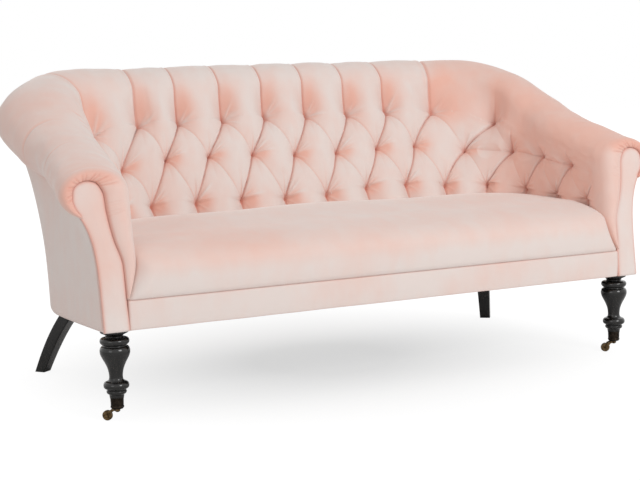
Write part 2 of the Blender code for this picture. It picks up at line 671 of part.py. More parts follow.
bm = bmesh.new()
seat_levels = [SEAT_BOTTOM_Z + (SEAT_EDGE_Z - SEAT_BOTTOM_Z) * h for h in seat_rise_shares]
loops = []
for z, inset in zip(seat_levels, seat_in_shares):
    loops.append([bm.verts.new(p) for p in seat_ring(z, inset)])
edge = seat_ring(SEAT_EDGE_Z, seat_in_shares[-1])
SEAT_MID_Y = (SEAT_FRONT_Y + seat_in_shares[-1] + CORNER_Y + BACK_LOW) / 2
SEAT_HALF_Y = CORNER_Y + BACK_LOW - SEAT_MID_Y
SEAT_HALF_X = max(p[0] for p in edge)
for f in ring_shares:
    ring = []
    for x, y, z in edge:
        px = max(min(x, SEAT_SPREAD_X), -SEAT_SPREAD_X)
        nx, ny = px + (x - px) * f, SEAT_MID_Y + (y - SEAT_MID_Y) * f
        dome = (1 - (nx / SEAT_HALF_X) ** 4) * (1 - ((ny - SEAT_MID_Y) / SEAT_HALF_Y) ** 2)
        ring.append(bm.verts.new((nx, ny, SEAT_EDGE_Z + SEAT_CROWN * max(dome, 0))))
    loops.append(ring)
n = len(loops[0])
for a, b in zip(loops[:-1], loops[1:]):
    for i in range(n):
        j = (i + 1) % n
        bm.faces.new((a[i], a[j], b[j], b[i]))
bm.faces.new(loops[0])
bm.faces.new(list(reversed(loops[-1])))
finish("seat_cushion", bm, FABRIC, True)

# Dust cover under the frame
DUST = 0.0012
DUST_LAP = 0.002
DUST_CUT = 0.055
DUST_SET = 0.037
pts = []
for c in steps(-C_END + DUST_SET / ARM_PITCH, C_END - DUST_SET / ARM_PITCH, 34):
    r = cover_r(c, BASE_Z) - COVER - SOFT_GAP - RAIL_WIDTH + DUST_LAP
    x, y, _ = place(c, r, BASE_Z)
    pts.append((x, y))
front = FRONT_RAIL_Y + FRONT_RAIL - DUST_LAP
pts = [(-pts[-1][0] + DUST_CUT, front)] + pts + [(pts[-1][0] - DUST_CUT, front)]
bm = bmesh.new()
low = [bm.verts.new((x, y, RAIL_BOTTOM_Z - GAP - DUST)) for x, y in pts]
high = [bm.verts.new((x, y, RAIL_BOTTOM_Z - GAP)) for x, y in pts]
for i in range(len(low)):
    j = (i + 1) % len(low)
    bm.faces.new((low[i], low[j], high[j], high[i]))
bm.faces.new(low)
bm.faces.new(list(reversed(high)))
finish("dust_cover", bm, ("dust cover cloth", CLOTH, 0.95, 0.0))

# Front corner blocks
BLOCK = 0.070
BLOCK_DROP = 0.006
block_y = FRONT_RAIL_Y + FRONT_RAIL + GAP
block_columns = [C_ARM + (CORNER_Y - y) / ARM_PITCH for y in (block_y, block_y + BLOCK)]
block_r = min(rail_ring(c, RAIL_WIDTH, RAIL_BOTTOM_Z, RAIL_TOP_Z, SOFT_GAP)[0][1]
              for c in [C_END] + steps(block_columns[1], block_columns[0], ARM_STEPS))
block_x = CORNER_X + block_r - 2 * GAP
for sign, side in SIDES:
    corner = [(block_x, block_y), (block_x - BLOCK, block_y), (block_x, block_y + BLOCK)]
    bm = bmesh.new()
    low = [bm.verts.new((sign * x, y, RAIL_BOTTOM_Z)) for x, y in corner]
    high = [bm.verts.new((sign * x, y, RAIL_TOP_Z - BLOCK_DROP)) for x, y in corner]
    for i in range(3):
        j = (i + 1) % 3
        bm.faces.new((low[i], low[j], high[j], high[i]))
    bm.faces.new(low)
    bm.faces.new(list(reversed(high)))
    finish(f"corner_block_{side}", bm, WOOD)

# Front legs: turned, with a brass cup and a swivel caster
LEG_FROM_SIDE = 0.0405
LEG_FROM_FRONT = 0.039
LEG_X = CORNER_X + BASE_ARM - LEG_FROM_SIDE
LEG_Y = ARM_FRONT_Y + LEG_FROM_FRONT
PLATE = 0.0018
LEG_R = 0.0366
CUP_TOP_Z = 0.058
CUP_BOTTOM_Z = 0.030
CUP_R = 0.0167
CUP_WALL = 0.0022
CUP_FLOOR = 0.004
turned_shares = (
    (0.93, 1.000), (0.93, 0.962), (0.80, 0.945), (0.60, 0.930), (0.57, 0.915), (0.70, 0.905),
    (0.90, 0.893), (0.975, 0.868), (0.975, 0.845), (0.90, 0.820), (0.80, 0.805), (0.83, 0.795),
    (0.93, 0.775), (1.00, 0.740), (0.985, 0.705), (0.90, 0.660), (0.76, 0.610), (0.62, 0.560),
    (0.50, 0.500), (0.455, 0.440), (0.455, 0.400), (0.49, 0.375), (0.54, 0.358), (0.72, 0.338),
    (0.84, 0.315), (0.84, 0.285), (0.74, 0.262), (0.60, 0.250), (0.60, 0.240), (0.66, 0.225),
    (0.64, 0.205), (0.50, 0.190))
LEG_SPAN = BASE_Z - GAP - CUP_BOTTOM_Z
for sign, side in SIDES:
    leg_top = BASE_Z - GAP
    profile = [(LEG_R * r, CUP_BOTTOM_Z + LEG_SPAN * h) for r, h in turned_shares]
    tip_r = CUP_R - CUP_WALL - GAP
    profile += [(CUP_R * 1.05, CUP_TOP_Z + 2 * GAP), (tip_r, CUP_TOP_Z + 2 * GAP),
                (tip_r, CUP_BOTTOM_Z + CUP_FLOOR + GAP)]
    lathe(f"front_leg_{side}", profile, 20, BLACK_WOOD, (sign * LEG_X, LEG_Y, 0))

# Rear legs: square, raked outward and back
REAR_TURN = math.radians(38.3)
REAR_FOOT_X = 0.745
REAR_FOOT_Y = 0.293
REAR_TOP_W = 0.046
REAR_FOOT_W = 0.032
rear_bow_shares = ((0.0, 0.0), (0.20, 0.29), (0.40, 0.52), (0.60, 0.70), (0.80, 0.87), (1.0, 1.0))
REAR_COLUMN_share = 4.32
REAR_TOP_R = cover_r(REAR_COLUMN_share, BASE_Z) - COVER - SOFT_GAP - RAIL_WIDTH / 2
top_x = CORNER_X + REAR_TOP_R * math.sin(REAR_TURN)
top_y = CORNER_Y + REAR_TOP_R * math.cos(REAR_TURN)
turn = math.atan2(REAR_FOOT_X - top_x, REAR_FOOT_Y - top_y)
for sign, side in SIDES:
    bm = bmesh.new()
    rings = []
    for down, out in rear_bow_shares:
        z = (BASE_Z - GAP) * (1 - down)
        x = top_x + (REAR_FOOT_X - top_x) * out
        y = top_y + (REAR_FOOT_Y - top_y) * out
        w = REAR_TOP_W + (REAR_FOOT_W - REAR_TOP_W) * down
        ring = []
        for a, b in ((-1, -1), (1, -1), (1, 1), (-1, 1)):
            dx, dy = a * w / 2, b * w / 2
            ring.append(bm.verts.new((sign * (x + dx * math.cos(turn) + dy * math.sin(turn)),
                                      y - dx * math.sin(turn) + dy * math.cos(turn), z)))
        rings.append(ring)
    for a, b in zip(rings[:-1], rings[1:]):
        for i in range(4):
            j = (i + 1) % 4
            bm.faces.new((a[i], a[j], b[j], b[i]))
    bm.faces.new(rings[0])
    bm.faces.new(list(reversed(rings[-1])))
    finish(f"rear_leg_{side}", bm, BLACK_WOOD)

# Leg plates between the legs and the rails
FRONT_PLATE = 0.030
REAR_PLATE = 0.030
PLATE_Z = RAIL_BOTTOM_Z - GAP - PLATE
leg_column = C_ARM + (CORNER_Y - LEG_Y) / ARM_PITCH
for sign, side in SIDES:
    x = sign * (CORNER_X + cover_r(leg_column, BASE_Z) - COVER - SOFT_GAP - RAIL_WIDTH / 2)
    box(f"front_plate_{side}", x - FRONT_PLATE / 2, x + FRONT_PLATE / 2, LEG_Y - FRONT_PLATE / 2,
        LEG_Y + FRONT_PLATE / 2, PLATE_Z, PLATE_Z + PLATE, SPRING_STEEL)
    bm = bmesh.new()
    rings = []
    for z in (PLATE_Z, PLATE_Z + PLATE):
        ring = []
        for a, b in ((-1, -1), (1, -1), (1, 1), (-1, 1)):
            dx, dy = a * REAR_PLATE / 2, b * REAR_PLATE / 2
            ring.append(bm.verts.new((sign * (top_x + dx * math.cos(REAR_TURN) + dy * math.sin(REAR_TURN)),
                                      top_y - dx * math.sin(REAR_TURN) + dy * math.cos(REAR_TURN), z)))
        rings.append(ring)
    for i in range(4):
        j = (i + 1) % 4
        bm.faces.new((rings[0][i], rings[0][j], rings[1][j], rings[1][i]))
    bm.faces.new(rings[0])
    bm.faces.new(list(reversed(rings[1])))
    finish(f"rear_plate_{side}", bm, SPRING_STEEL)

# Casters: cup with its pivot pin, horn, axle and wheel
PIN_R = 0.0030
PIN_GAP = 0.0004
EYE = 0.0052
EYE_R = 0.0070
EYE_TOP_Z = CUP_BOTTOM_Z - PIN_GAP
EYE_Z = EYE_TOP_Z - EYE
HEAD = 0.0024
HEAD_R = 0.0052
HEAD_TOP_Z = EYE_Z - PIN_GAP
WHEEL_R = 0.0125
WHEEL_W = 0.0085
WHEEL_BORE = 0.0026
AXLE_R = 0.0022
TRAIL = 0.026
CHEEK = 0.0022
CHEEK_GAP = 0.0006
CHEEK_R = 0.0068
HORN_INSET = 0.0006
WHEEL_GAP = 0.0018
AXLE_HEAD = 0.0014
OVERRUN = 0.002
eye_shares = ((0.81, 0.0), (1.69, -0.40))
axle_shares = ((-0.15, 1.0), (0.60, 0.30), (0.60, -0.41), (-0.44, -0.51), (-1.25, 0.62))
elbow_shares = (0.74, -0.18)
CASTER_TURN = {"left": math.radians(140), "right": math.radians(165)}


def ring_solid(name, rings, mat, location, smooth=True):
    bm = bmesh.new()
    loops = [[bm.verts.new(p) for p in ring] for ring in rings]
    n = len(loops[0])
    for a, b in zip(loops, loops[1:] + loops[:1]):
        for i in range(n):
            j = (i + 1) % n
            bm.faces.new((a[i], a[j], b[j], b[i]))
    return finish(name, bm, mat, smooth, location)


for sign, side in SIDES:
    where = (sign * LEG_X, LEG_Y, 0)
    inner_r = CUP_R - CUP_WALL
    lathe(f"caster_cup_{side}", [
        (inner_r, CUP_BOTTOM_Z + CUP_FLOOR), (inner_r, CUP_TOP_Z), (CUP_R, CUP_TOP_Z),
        (CUP_R, CUP_BOTTOM_Z + CUP_WALL), (CUP_R * 0.90, CUP_BOTTOM_Z), (PIN_R, CUP_BOTTOM_Z),
        (PIN_R, HEAD_TOP_Z), (HEAD_R, HEAD_TOP_Z - HEAD / 6), (HEAD_R, HEAD_TOP_Z - HEAD)],
        20, OLD_BRASS, where)

    # The horn: an eye round the pin, an arm behind it and two cheeks beside the wheel
    turn = CASTER_TURN[side]
    cheek_in = WHEEL_W / 2 + CHEEK_GAP
    cheek_out = cheek_in + CHEEK

    def local(x, y, z, turn=turn):
        return (x * math.cos(turn) - y * math.sin(turn), x * math.sin(turn) + y * math.cos(turn), z)

    bm = bmesh.new()
    n = 16
    bore = PIN_R + PIN_GAP
    layers = []
    for radius, z in ((bore, EYE_Z), (bore, EYE_TOP_Z), (EYE_R, EYE_TOP_Z), (EYE_R, EYE_Z)):
        layers.append([bm.verts.new(local(radius * math.cos(2 * math.pi * (i + 0.5) / n),
                                          radius * math.sin(2 * math.pi * (i + 0.5) / n), z))
                       for i in range(n)])
    for a, b in zip(layers, layers[1:] + layers[:1]):
        for i in range(n):
            j = (i + 1) % n
            bm.faces.new((a[i], a[j], b[j], b[i]))
    horn = finish(f"caster_horn_{side}", bm, OLD_BRASS, False, where)

    # Side outline of the arm and the cheeks, seen along the axle
    outline = [(EYE_R * 0.80, EYE_Z + HORN_INSET), (EYE_R * 0.80, EYE_TOP_Z - HORN_INSET)]
    outline += [(EYE_R + CHEEK_R * x, EYE_TOP_Z - HORN_INSET + CHEEK_R * z) for x, z in eye_shares]
    outline += [(TRAIL + CHEEK_R * x, WHEEL_R + CHEEK_R * z) for x, z in axle_shares]
    outline += [(EYE_R + CHEEK_R * elbow_shares[0], EYE_Z + CHEEK_R * elbow_shares[1])]
    bm = bmesh.new()
    a = [bm.verts.new(local(x, -cheek_out, z)) for x, z in outline]
    b = [bm.verts.new(local(x, cheek_out, z)) for x, z in outline]
    for i in range(len(a)):
        j = (i + 1) % len(a)
        bm.faces.new((a[i], a[j], b[j], b[i]))
    bm.faces.new(a)
    bm.faces.new(list(reversed(b)))
    fork = finish(f"horn_fork_{side}", bm, OLD_BRASS, False, where)

    bm = bmesh.new()
    slot_x = TRAIL - WHEEL_R - WHEEL_GAP
    slot_z = EYE_TOP_Z * 1.5
    ends = [(slot_x, -OVERRUN), (TRAIL * 2, -OVERRUN), (TRAIL * 2, slot_z), (slot_x, slot_z)]
    a = [bm.verts.new(local(x, -cheek_in, z)) for x, z in ends]
    b = [bm.verts.new(local(x, cheek_in, z)) for x, z in ends]
    for i in range(4):
        j = (i + 1) % 4
        bm.faces.new((a[i], a[j], b[j], b[i]))
    bm.faces.new(a)
    bm.faces.new(list(reversed(b)))
    slot = finish(f"horn_slot_{side}", bm, OLD_BRASS, False, where)

    def cutter(name, radius, x, axis, length, z):
        bm = bmesh.new()
        m = 16
        loops = []
        for e in (-length / 2, length / 2):
            loop = []
            for i in range(m):
                p, q = radius * math.cos(2 * math.pi * i / m), radius * math.sin(2 * math.pi * i / m)
                loop.append(bm.verts.new(local(x + p, q, z + e) if axis == "z" else local(x + p, e, z + q)))
            loops.append(loop)
        for i in range(m):
            j = (i + 1) % m
            bm.faces.new((loops[0][i], loops[0][j], loops[1][j], loops[1][i]))
        bm.faces.new(loops[0])
        bm.faces.new(list(reversed(loops[1])))
        return finish(name, bm, OLD_BRASS, False, where)

    axle_hole = cutter(f"axle_hole_{side}", AXLE_R + GAP, TRAIL, "y", TRAIL * 2, WHEEL_R)
    pin_hole = cutter(f"pin_hole_{side}", bore, 0, "z", TRAIL * 2, EYE_Z)
    for tool in (slot, axle_hole, pin_hole, fork):
        tool.hide_render = True
        tool.display_type = "WIRE"
    for tool in (slot, axle_hole, pin_hole):
        mod = fork.modifiers.new(tool.name, "BOOLEAN")
        mod.operation = "DIFFERENCE"
        mod.object = tool
    mod = horn.modifiers.new("fork", "BOOLEAN")
    mod.operation = "UNION"
    mod.object = fork

    # Wheel with its bore, and the axle with its heads
    wheel_profile = ((WHEEL_BORE, -0.5), (WHEEL_R * 0.90, -0.5), (WHEEL_R, -0.36), (WHEEL_R, 0.36),
                     (WHEEL_R * 0.90, 0.5), (WHEEL_BORE, 0.5))
    m = 24
    origin = local(TRAIL, 0, WHEEL_R)
    centre = (where[0] + origin[0], where[1] + origin[1], origin[2])
    rings = []
    for i in range(m):
        ang = 2 * math.pi * (i + 0.5) / m - math.pi / 2
        ring = []
        for radius, w in wheel_profile:
            p = local(radius * math.cos(ang), w * WHEEL_W, radius * math.sin(ang))
            ring.append(p)
        rings.append(ring)
    ring_solid(f"caster_wheel_{side}", rings, OLD_BRASS, centre)
    bm = bmesh.new()
    m = 14
    loops = []
    for radius, w in ((AXLE_R * 1.7, -cheek_out - AXLE_HEAD), (AXLE_R * 1.7, -cheek_out - GAP),
                      (AXLE_R, -cheek_out - GAP), (AXLE_R, cheek_out + GAP),
                      (AXLE_R * 1.7, cheek_out + GAP), (AXLE_R * 1.7, cheek_out + AXLE_HEAD)):
        loops.append([bm.verts.new(local(radius * math.cos(2 * math.pi * i / m), w,
                                         radius * math.sin(2 * math.pi * i / m))) for i in range(m)])
    for a, b in zip(loops[:-1], loops[1:]):
        for i in range(m):
            j = (i + 1) % m
            bm.faces.new((a[i], a[j], b[j], b[i]))
    bm.faces.new(loops[0])
    bm.faces.new(list(reversed(loops[-1])))
    finish(f"caster_axle_{side}", bm, SPRING_STEEL, True, centre)
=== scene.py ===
"""Rolled-arm settee with a diamond-tufted back, in pale pink velvet on turned black legs."""
import math
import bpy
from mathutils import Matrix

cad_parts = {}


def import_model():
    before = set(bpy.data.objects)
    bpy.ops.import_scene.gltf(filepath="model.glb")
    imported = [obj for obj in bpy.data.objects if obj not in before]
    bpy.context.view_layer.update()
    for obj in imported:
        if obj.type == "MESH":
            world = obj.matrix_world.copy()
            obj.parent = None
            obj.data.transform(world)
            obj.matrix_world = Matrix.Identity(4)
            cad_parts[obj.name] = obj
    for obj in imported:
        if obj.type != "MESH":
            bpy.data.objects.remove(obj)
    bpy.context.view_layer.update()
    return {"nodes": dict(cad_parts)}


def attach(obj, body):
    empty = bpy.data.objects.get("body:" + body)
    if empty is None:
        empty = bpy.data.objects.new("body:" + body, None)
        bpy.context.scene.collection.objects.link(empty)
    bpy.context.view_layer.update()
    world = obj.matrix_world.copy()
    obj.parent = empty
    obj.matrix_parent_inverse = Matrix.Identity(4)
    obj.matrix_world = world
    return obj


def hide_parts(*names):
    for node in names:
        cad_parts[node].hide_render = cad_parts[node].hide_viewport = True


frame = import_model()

from types import SimpleNamespace

import bmesh
import bpy
import numpy as np
from mathutils import Matrix, Vector

# Plan and sizes of the shell. Only the covers' belly and the padding's lower end differ from the frame's
TUFT_PITCH = 0.1355
ARM_PITCH = 0.1495
CORNER_Y = -0.109
BACK_COLUMNS = 3.17
CORNER_COLUMNS = 2.83
ARM_COLUMNS = 2.0
CORNER_EASE = 0.06
CORNER_X = TUFT_PITCH * BACK_COLUMNS
C_ARM = BACK_COLUMNS + CORNER_COLUMNS
C_END = C_ARM + ARM_COLUMNS
FRONT_LEAN = 0.135
BASE_Z = 0.225
SEAM_Z = 0.2974
LOW_Z = 0.44
PAD_FOOT_Z = 0.335
FRONT_FOOT_Z = 0.303
BACK_TOP_Z = 0.846
ARM_TOP_Z = 0.615
BACK_ROLL_HALF = 0.108
CORNER_ROLL_HALF = 0.125
ARM_ROLL_HALF = 0.088
ARM_ROLL_RISE = 0.0625
BACK_REACH = 0.538
CORNER_REACH = 0.59
ARM_REACH = 0.44
BACK_LOW = 0.158
ARM_LOW = 0.264
STATIONS = (0, 0.4, 0.49, 0.575, 0.66, 0.75, 0.87, 1)
TOP = (1, 1, 0.985, 0.8, 0.52, 0.315, 0.16, 0)
RISE = (1, 1, 0.85, 0.55, 0.3, 0.1, 0.03, 0)
BACK_WIDTH = (1, 1, 0.15, 0, 0, 0, 0, 0)
CORNER_WIDTH = (0, 0, 0.85, 1, 0.4, 0, 0, 0)
BACK_REACHES = (1, 1, 0.05, 0.2, 0.03, -0.25, -0.16, 0)
CORNER_REACHES = (0, 0, 0.95, 0.57, 0.13, 0, 0, 0)
LOWS = (0, 0, 0.065, 0.24, 0.518, 0.76, 0.88, 1)
ROW_FALL = (0, 0, 0.02, 0.08, 0.35, 0.62, 0.85, 1)
UPPER_FALL = (0, 0, 0.28, 0.34, 0.34, 0.44, 0.66, 1)
BASES = (1, 1, 0.85, 0.65, 0.58, 0.55, 0.35, 0)
LOWER_ROW_Z = 0.468
LOWER_ROW_FRONT_Z = 0.436
UPPER_ROW_Z = 0.579
UPPER_ROW_FRONT_Z = 0.509
TOP_ROW = 0.345
TUFT_DEPTH = 0.044
LOWER_TUFT = 0.62
MIDDLE_TUFT = 0.82
ARM_TUFT = 0.68
BACK_STUFFING = 0.062
ARM_STUFFING = 0.05
BACK_ROLL_STUFFING = 0.045
ARM_ROLL_STUFFING = 0.024
ROLL_TAIL = 0.85
ROLL_END_ANGLE = math.radians(-80)
FRONT_END_ANGLE = math.radians(-63)
FRONT_FROM = 6.8
END_TURN_FROM, END_TURN_OVER = 7.3, 0.5
FRONT_ROWS = (0, 0.5, 1, 1.5, 2, 2.6, 3.2, 3.6, 4, 4.5, 5, 5.4, 5.7, 6)
FRONT_R = (0.298, 0.3, 0.318, 0.326, 0.331, 0.333, 0.342, 0.354, 0.372, 0.392, 0.4085, 0.4105, 0.404, 0.394)
FRONT_Z = (0.303, 0.379, 0.445, 0.484, 0.52, 0.548, 0.57, 0.581, 0.5845, 0.58, 0.562, 0.54, 0.52, 0.505)
WAIST_ANGLE = math.radians(-62)
COVER = 0.012
BASE_BACK = 0.4
BASE_ARM = 0.36
COVER_BELLY = 0.44
FRONT_BELLY = 0.06
FRONT_BEND = 5.0
FRONT_Y = -0.414
FACING = 0.014
FACING_FOOT = 0.296
GAP = 0.0003
SPLIT = 4.5
END_C = C_END + (FACING - GAP) / ARM_PITCH

SIDES = ((-1, "left"), (1, "right"))

# Tufting: widths and heights of its pleats, lips and creases
GRID = 80
ROWS = 240
ROW_STEP = 0.105
PLEAT_GROOVE = 0.004
PLEAT_WIDTH = 0.0022
CROSS_WIDTH = 0.0024
FOOT_WIDTH = 0.0026
ARM_PLEAT_WIDTH = 0.0028
LIP_OFFSET, LIP_WIDTH, LIP_HEIGHT = 0.04, 0.004, 0.0016
ROLL_LIP_OFFSET, ROLL_LIP_WIDTH, ROLL_LIP_HEIGHT = 0.042, 0.0045, 0.0018
PIT_DEPTH, PIT_WIDTH = 0.0075, 0.0065
DISH_DEPTH, DISH_WIDTH = 0.003, 0.018
CREASE_ANGLES = (0.1, 0.38, 0.66, 0.98, 1.35, 2.1, 2.7, -0.6, -2.4)
CREASE_HEIGHT = 0.004
NIPS = ((-5.1, 3.55), (-5.26, 3.5), (-5.42, 3.46))

# Ends of the padding and the facings
BLEND_COLUMNS = 0.3
BLEND_STEPS = 14
END_STEPS = 28
END_BULGE = 0.006
END_BULGE_SHARE = 0.16
END_SHOULDER = 0.45
SEAM_GROOVE = 0.0012
# Share across the end where the painted seam shade starts
SEAM_SHADE_RISE = 0.86
TIP_DEPTH = 0.031
TIP_ROWS = 0.66
INNER_STRIDE = 16
GATHER_DEPTH, GATHER_WIDTH = 0.002, 0.003
FACING_TURN = 0.0062
FACING_DOME = 0.0042
# Widths of the painted shade along the facings' seams, wider on the right facing's inner edge
FACING_SEAM_SHADE, RIGHT_SEAM_SHADE = 0.004, 0.0056
ARRIS_POWER = 0.16

# Painted sheen and shade of the velvet: 0 is the rich pink painted where the pile is looked into or lies in
# shade, 1 the pale pink painted where sheen or light falls; a painted shade in folds, creases and seams is
# laid over it
SHEEN = 0.6
SHADED_PINK = (0.86, 0.5, 0.405)
SHEEN_PALE = (0.805, 0.7, 0.655)
FOLD_SHADE_PINK = (0.73, 0.32, 0.24)
FOLD_SHADE_AMOUNT, PATCHES, STROKES = 0.75, 0.11, 0.07
# Painted sheen on the padding, and painted shade on the right arm, its roll and the left roll's top
PAD_SHEEN, RIGHT_ARM_SHADE, RIGHT_ROLL_SHADE, LEFT_ROLL_SHADE = 0.86, 0.72, 0.22, 0.44


def hermite(t):
    """Weights of a cubic piece: start value, start slope, end value, end slope."""
    return 2 * t**3 - 3 * t**2 + 1, t**3 - 2 * t**2 + t, 3 * t**2 - 2 * t**3, t**3 - t**2


def curve(xs, ys, x):
    """Monotone cubic through points, for a whole array x."""
    xs, ys = np.array(xs, dtype=float), np.array(ys, dtype=float)
    n = len(xs)
    d = np.diff(ys) / np.diff(xs)
    m = np.zeros(n)
    for i in range(1, n - 1):
        if d[i - 1] * d[i] > 0:
            h0, h1 = xs[i] - xs[i - 1], xs[i + 1] - xs[i]
            w1, w2 = 2 * h1 + h0, h1 + 2 * h0
            m[i] = (w1 + w2) / (w1 / d[i - 1] + w2 / d[i])
    m[-1] = d[-1]
    x = np.clip(x, xs[0], xs[-1])
    i = np.clip(np.searchsorted(xs, x, side="left") - 1, 0, n - 2)
    h = xs[i + 1] - xs[i]
    start, leave, end, arrive = hermite((x - xs[i]) / h)
    return start * ys[i] + leave * h * m[i] + end * ys[i + 1] + arrive * h * m[i + 1]


def along(values, c):
    """A size that runs along the shell from the middle of the back to the arm's front."""
    return curve(STATIONS, values, np.abs(c) / C_END)


def ease(u, start=0, length=1):
    """Smooth step from 0 at the start to 1 a length beyond it."""
    u = np.clip((u - start) / length, 0, 1)
    return u * u * (3 - 2 * u)


def blend(a, b, share):
    """From a to b by a share."""
    return a + (b - a) * share


join = np.concatenate


def xyz(x, y, z):
    """Points from three arrays that broadcast to one shape."""
    return np.stack(np.broadcast_arrays(x, y, z), axis=-1)


def bell(x, width):
    """Gaussian bump, one at x = 0."""
    return np.exp(-(x / width) ** 2)


def ridge(x, power):
    """Zero at whole numbers, one half-way between them."""
    return np.abs(np.sin(np.pi * x)) ** power


def station(c):
    """Sizes of the shell's section at columns c: roll ellipse, leaning straight and tuft rows."""
    c = np.asarray(c, dtype=float)
    rise = blend(ARM_ROLL_RISE, BACK_ROLL_HALF, along(RISE, c))
    half = (blend(ARM_ROLL_HALF, BACK_ROLL_HALF, along(BACK_WIDTH, c))
            + (CORNER_ROLL_HALF - ARM_ROLL_HALF) * along(CORNER_WIDTH, c))
    reach = (blend(ARM_REACH, BACK_REACH, along(BACK_REACHES, c))
             + (CORNER_REACH - ARM_REACH) * along(CORNER_REACHES, c))
    top = blend(ARM_TOP_Z, BACK_TOP_Z, along(TOP, c))
    low = blend(BACK_LOW, ARM_LOW, along(LOWS, c))
    mid_r, mid_z = reach - half, top - rise
    dx, dz = (mid_r - low) * rise / half, mid_z - LOW_Z
    start = np.arctan2(dz, dx) + np.arcsin(rise / np.hypot(dx, dz)) + np.pi / 2
    tan_r, tan_z = mid_r + half * np.cos(start), mid_z + rise * np.sin(start)
    run = np.hypot(tan_r - low, tan_z - LOW_Z)
    lean = np.arctan2(tan_z - LOW_Z, tan_r - low)
    lower = blend(LOWER_ROW_Z, LOWER_ROW_FRONT_Z, along(ROW_FALL, c))
    upper = blend(UPPER_ROW_Z, UPPER_ROW_FRONT_Z, along(UPPER_FALL, c))
    front = ease((np.abs(c) - FRONT_FROM) / (C_END - FRONT_FROM))
    arm = ease(np.abs(c), BACK_COLUMNS, CORNER_COLUMNS)
    depth = TUFT_DEPTH * blend(1, ARM_TUFT, arm)
    mean = (half + rise) / 2
    s_low = (lower + LOWER_TUFT * depth * np.cos(lean) - LOW_Z) / np.sin(lean)
    s_up = (upper + MIDDLE_TUFT * depth * np.cos(lean) - LOW_Z) / np.sin(lean)
    s_top = run + mean * (start - np.pi / 2)
    s_third = s_up + TOP_ROW * (s_top - s_up)
    end = blend(ROLL_END_ANGLE, FRONT_END_ANGLE, ease(np.abs(c), END_TURN_FROM, END_TURN_OVER))
    foot = (PAD_FOOT_Z + (FRONT_FOOT_Z - PAD_FOOT_Z) * front - LOW_Z) / np.sin(lean)
    rows = [foot, s_low, s_up, s_third, s_top, run + mean * start, run + mean * (start - end)]
    return SimpleNamespace(
        rows=rows, rise=rise, half=half, mid_r=mid_r, mid_z=mid_z, low=low, start=start, run=run, lean=lean,
        depth=depth, mean=mean, front=front, stuffing=blend(BACK_STUFFING, ARM_STUFFING, arm),
        roll_stuffing=blend(BACK_ROLL_STUFFING, ARM_ROLL_STUFFING, arm))


def arc_length(st, v):
    """Length up the section to row v: 0 foot, 1 to 3 tuft rows, 4 top, 5 outer side, 6 end."""
    s = st.rows[0]
    for i in range(6):
        s = s + np.clip(v - i, 0, 1) * (st.rows[i + 1] - st.rows[i])
    return s


def on_roll(st, phi, depth):
    """Place on the roll's ellipse at angle phi, moved inward along its normal."""
    nr, nz = np.cos(phi) / st.half, np.sin(phi) / st.rise
    nl = np.hypot(nr, nz)
    return (st.mid_r + st.half * np.cos(phi) - depth * nr / nl,
            st.mid_z + st.rise * np.sin(phi) - depth * nz / nl)


def on_section(st, s, depth):
    """Place at length s up the section: the leaning straight, then round the roll."""
    cl, sl = np.cos(st.lean), np.sin(st.lean)
    flat_r, flat_z = st.low + s * cl + depth * sl, LOW_Z + s * sl - depth * cl
    roll_r, roll_z = on_roll(st, st.start - (s - st.run) / st.mean, depth)
    on_flat = s <= st.run
    return np.where(on_flat, flat_r, roll_r), np.where(on_flat, flat_z, roll_z)


def place(c, r, z):
    """Point in the room for column c, reach r and height z: back, round corner, then arm."""
    k, sign = np.abs(c), np.where(np.asarray(c) >= 0, 1.0, -1.0)
    u = np.clip((k - BACK_COLUMNS) / CORNER_COLUMNS, 0, 1)
    turn = (u + CORNER_EASE * np.sin(np.pi * u)) * np.pi / 2
    on_arm = np.maximum(k - C_ARM, 0)
    w = ease(on_arm / ARM_COLUMNS)
    x = np.where(k <= BACK_COLUMNS, k * TUFT_PITCH, CORNER_X + r * np.sin(turn))
    y = CORNER_Y + r * np.cos(turn) - on_arm * ARM_PITCH + (z - BASE_Z) * FRONT_LEAN * w
    return xyz(sign * x, y, z)


def stuffing(st, v):
    """Thickness of the padding at row v: full behind the tufts, thin round the roll."""
    t = blend(st.stuffing, st.roll_stuffing, ease(v, 2.5, 1.5))
    return t * blend(1, ROLL_TAIL, ease(v - 4))


def lining(st, v):
    """Inside of the padding at row v; towards the arm's end it turns into the facing's outline."""
    r, z = on_section(st, arc_length(st, v), stuffing(st, v))
    with_roll = ease(v, 1, 2)
    front_r = curve(FRONT_ROWS, FRONT_R, v) + (st.mid_r + st.half - ARM_REACH) * with_roll
    front_z = curve(FRONT_ROWS, FRONT_Z, v) + (st.mid_z + st.rise - ARM_TOP_Z) * with_roll
    return blend(r, front_r, st.front), blend(z, front_z, st.front)


def cover_r(c, z):
    """Reach of the outside covers at height z: straight base drawn out to the roll's waist."""
    st = station(c)
    base = blend(BASE_ARM, BASE_BACK, along(BASES, c))
    waist_r, waist_z = on_roll(st, WAIST_ANGLE, 0)
    u = (z - BASE_Z) / (waist_z - BASE_Z)
    belly = blend(COVER_BELLY, FRONT_BELLY, st.front)
    bend = blend(2, FRONT_BEND, st.front)
    return blend(base, waist_r, belly * u + (1 - belly) * np.maximum(u, 0) ** bend)


def under_roll(c, r, gap):
    """Height of the roll's underside over reach r."""
    st = station(c)
    q = np.clip((r - st.mid_r) / (st.half + gap), -1, 1)
    return st.mid_z - (st.rise + gap) * np.sqrt(1 - q * q)


def waves(c, v, seed, count, low, high):
    """Sum of sine waves in random directions, about one high."""
    rng = np.random.default_rng(seed)
    total = 0
    for _ in range(count):
        angle, size = rng.uniform(0, np.pi), rng.uniform(low, high)
        total = total + np.sin(size * (np.cos(angle) * c + np.sin(angle) * v) + rng.uniform(0, 2 * np.pi))
    return total / math.sqrt(count / 2)


# Materials


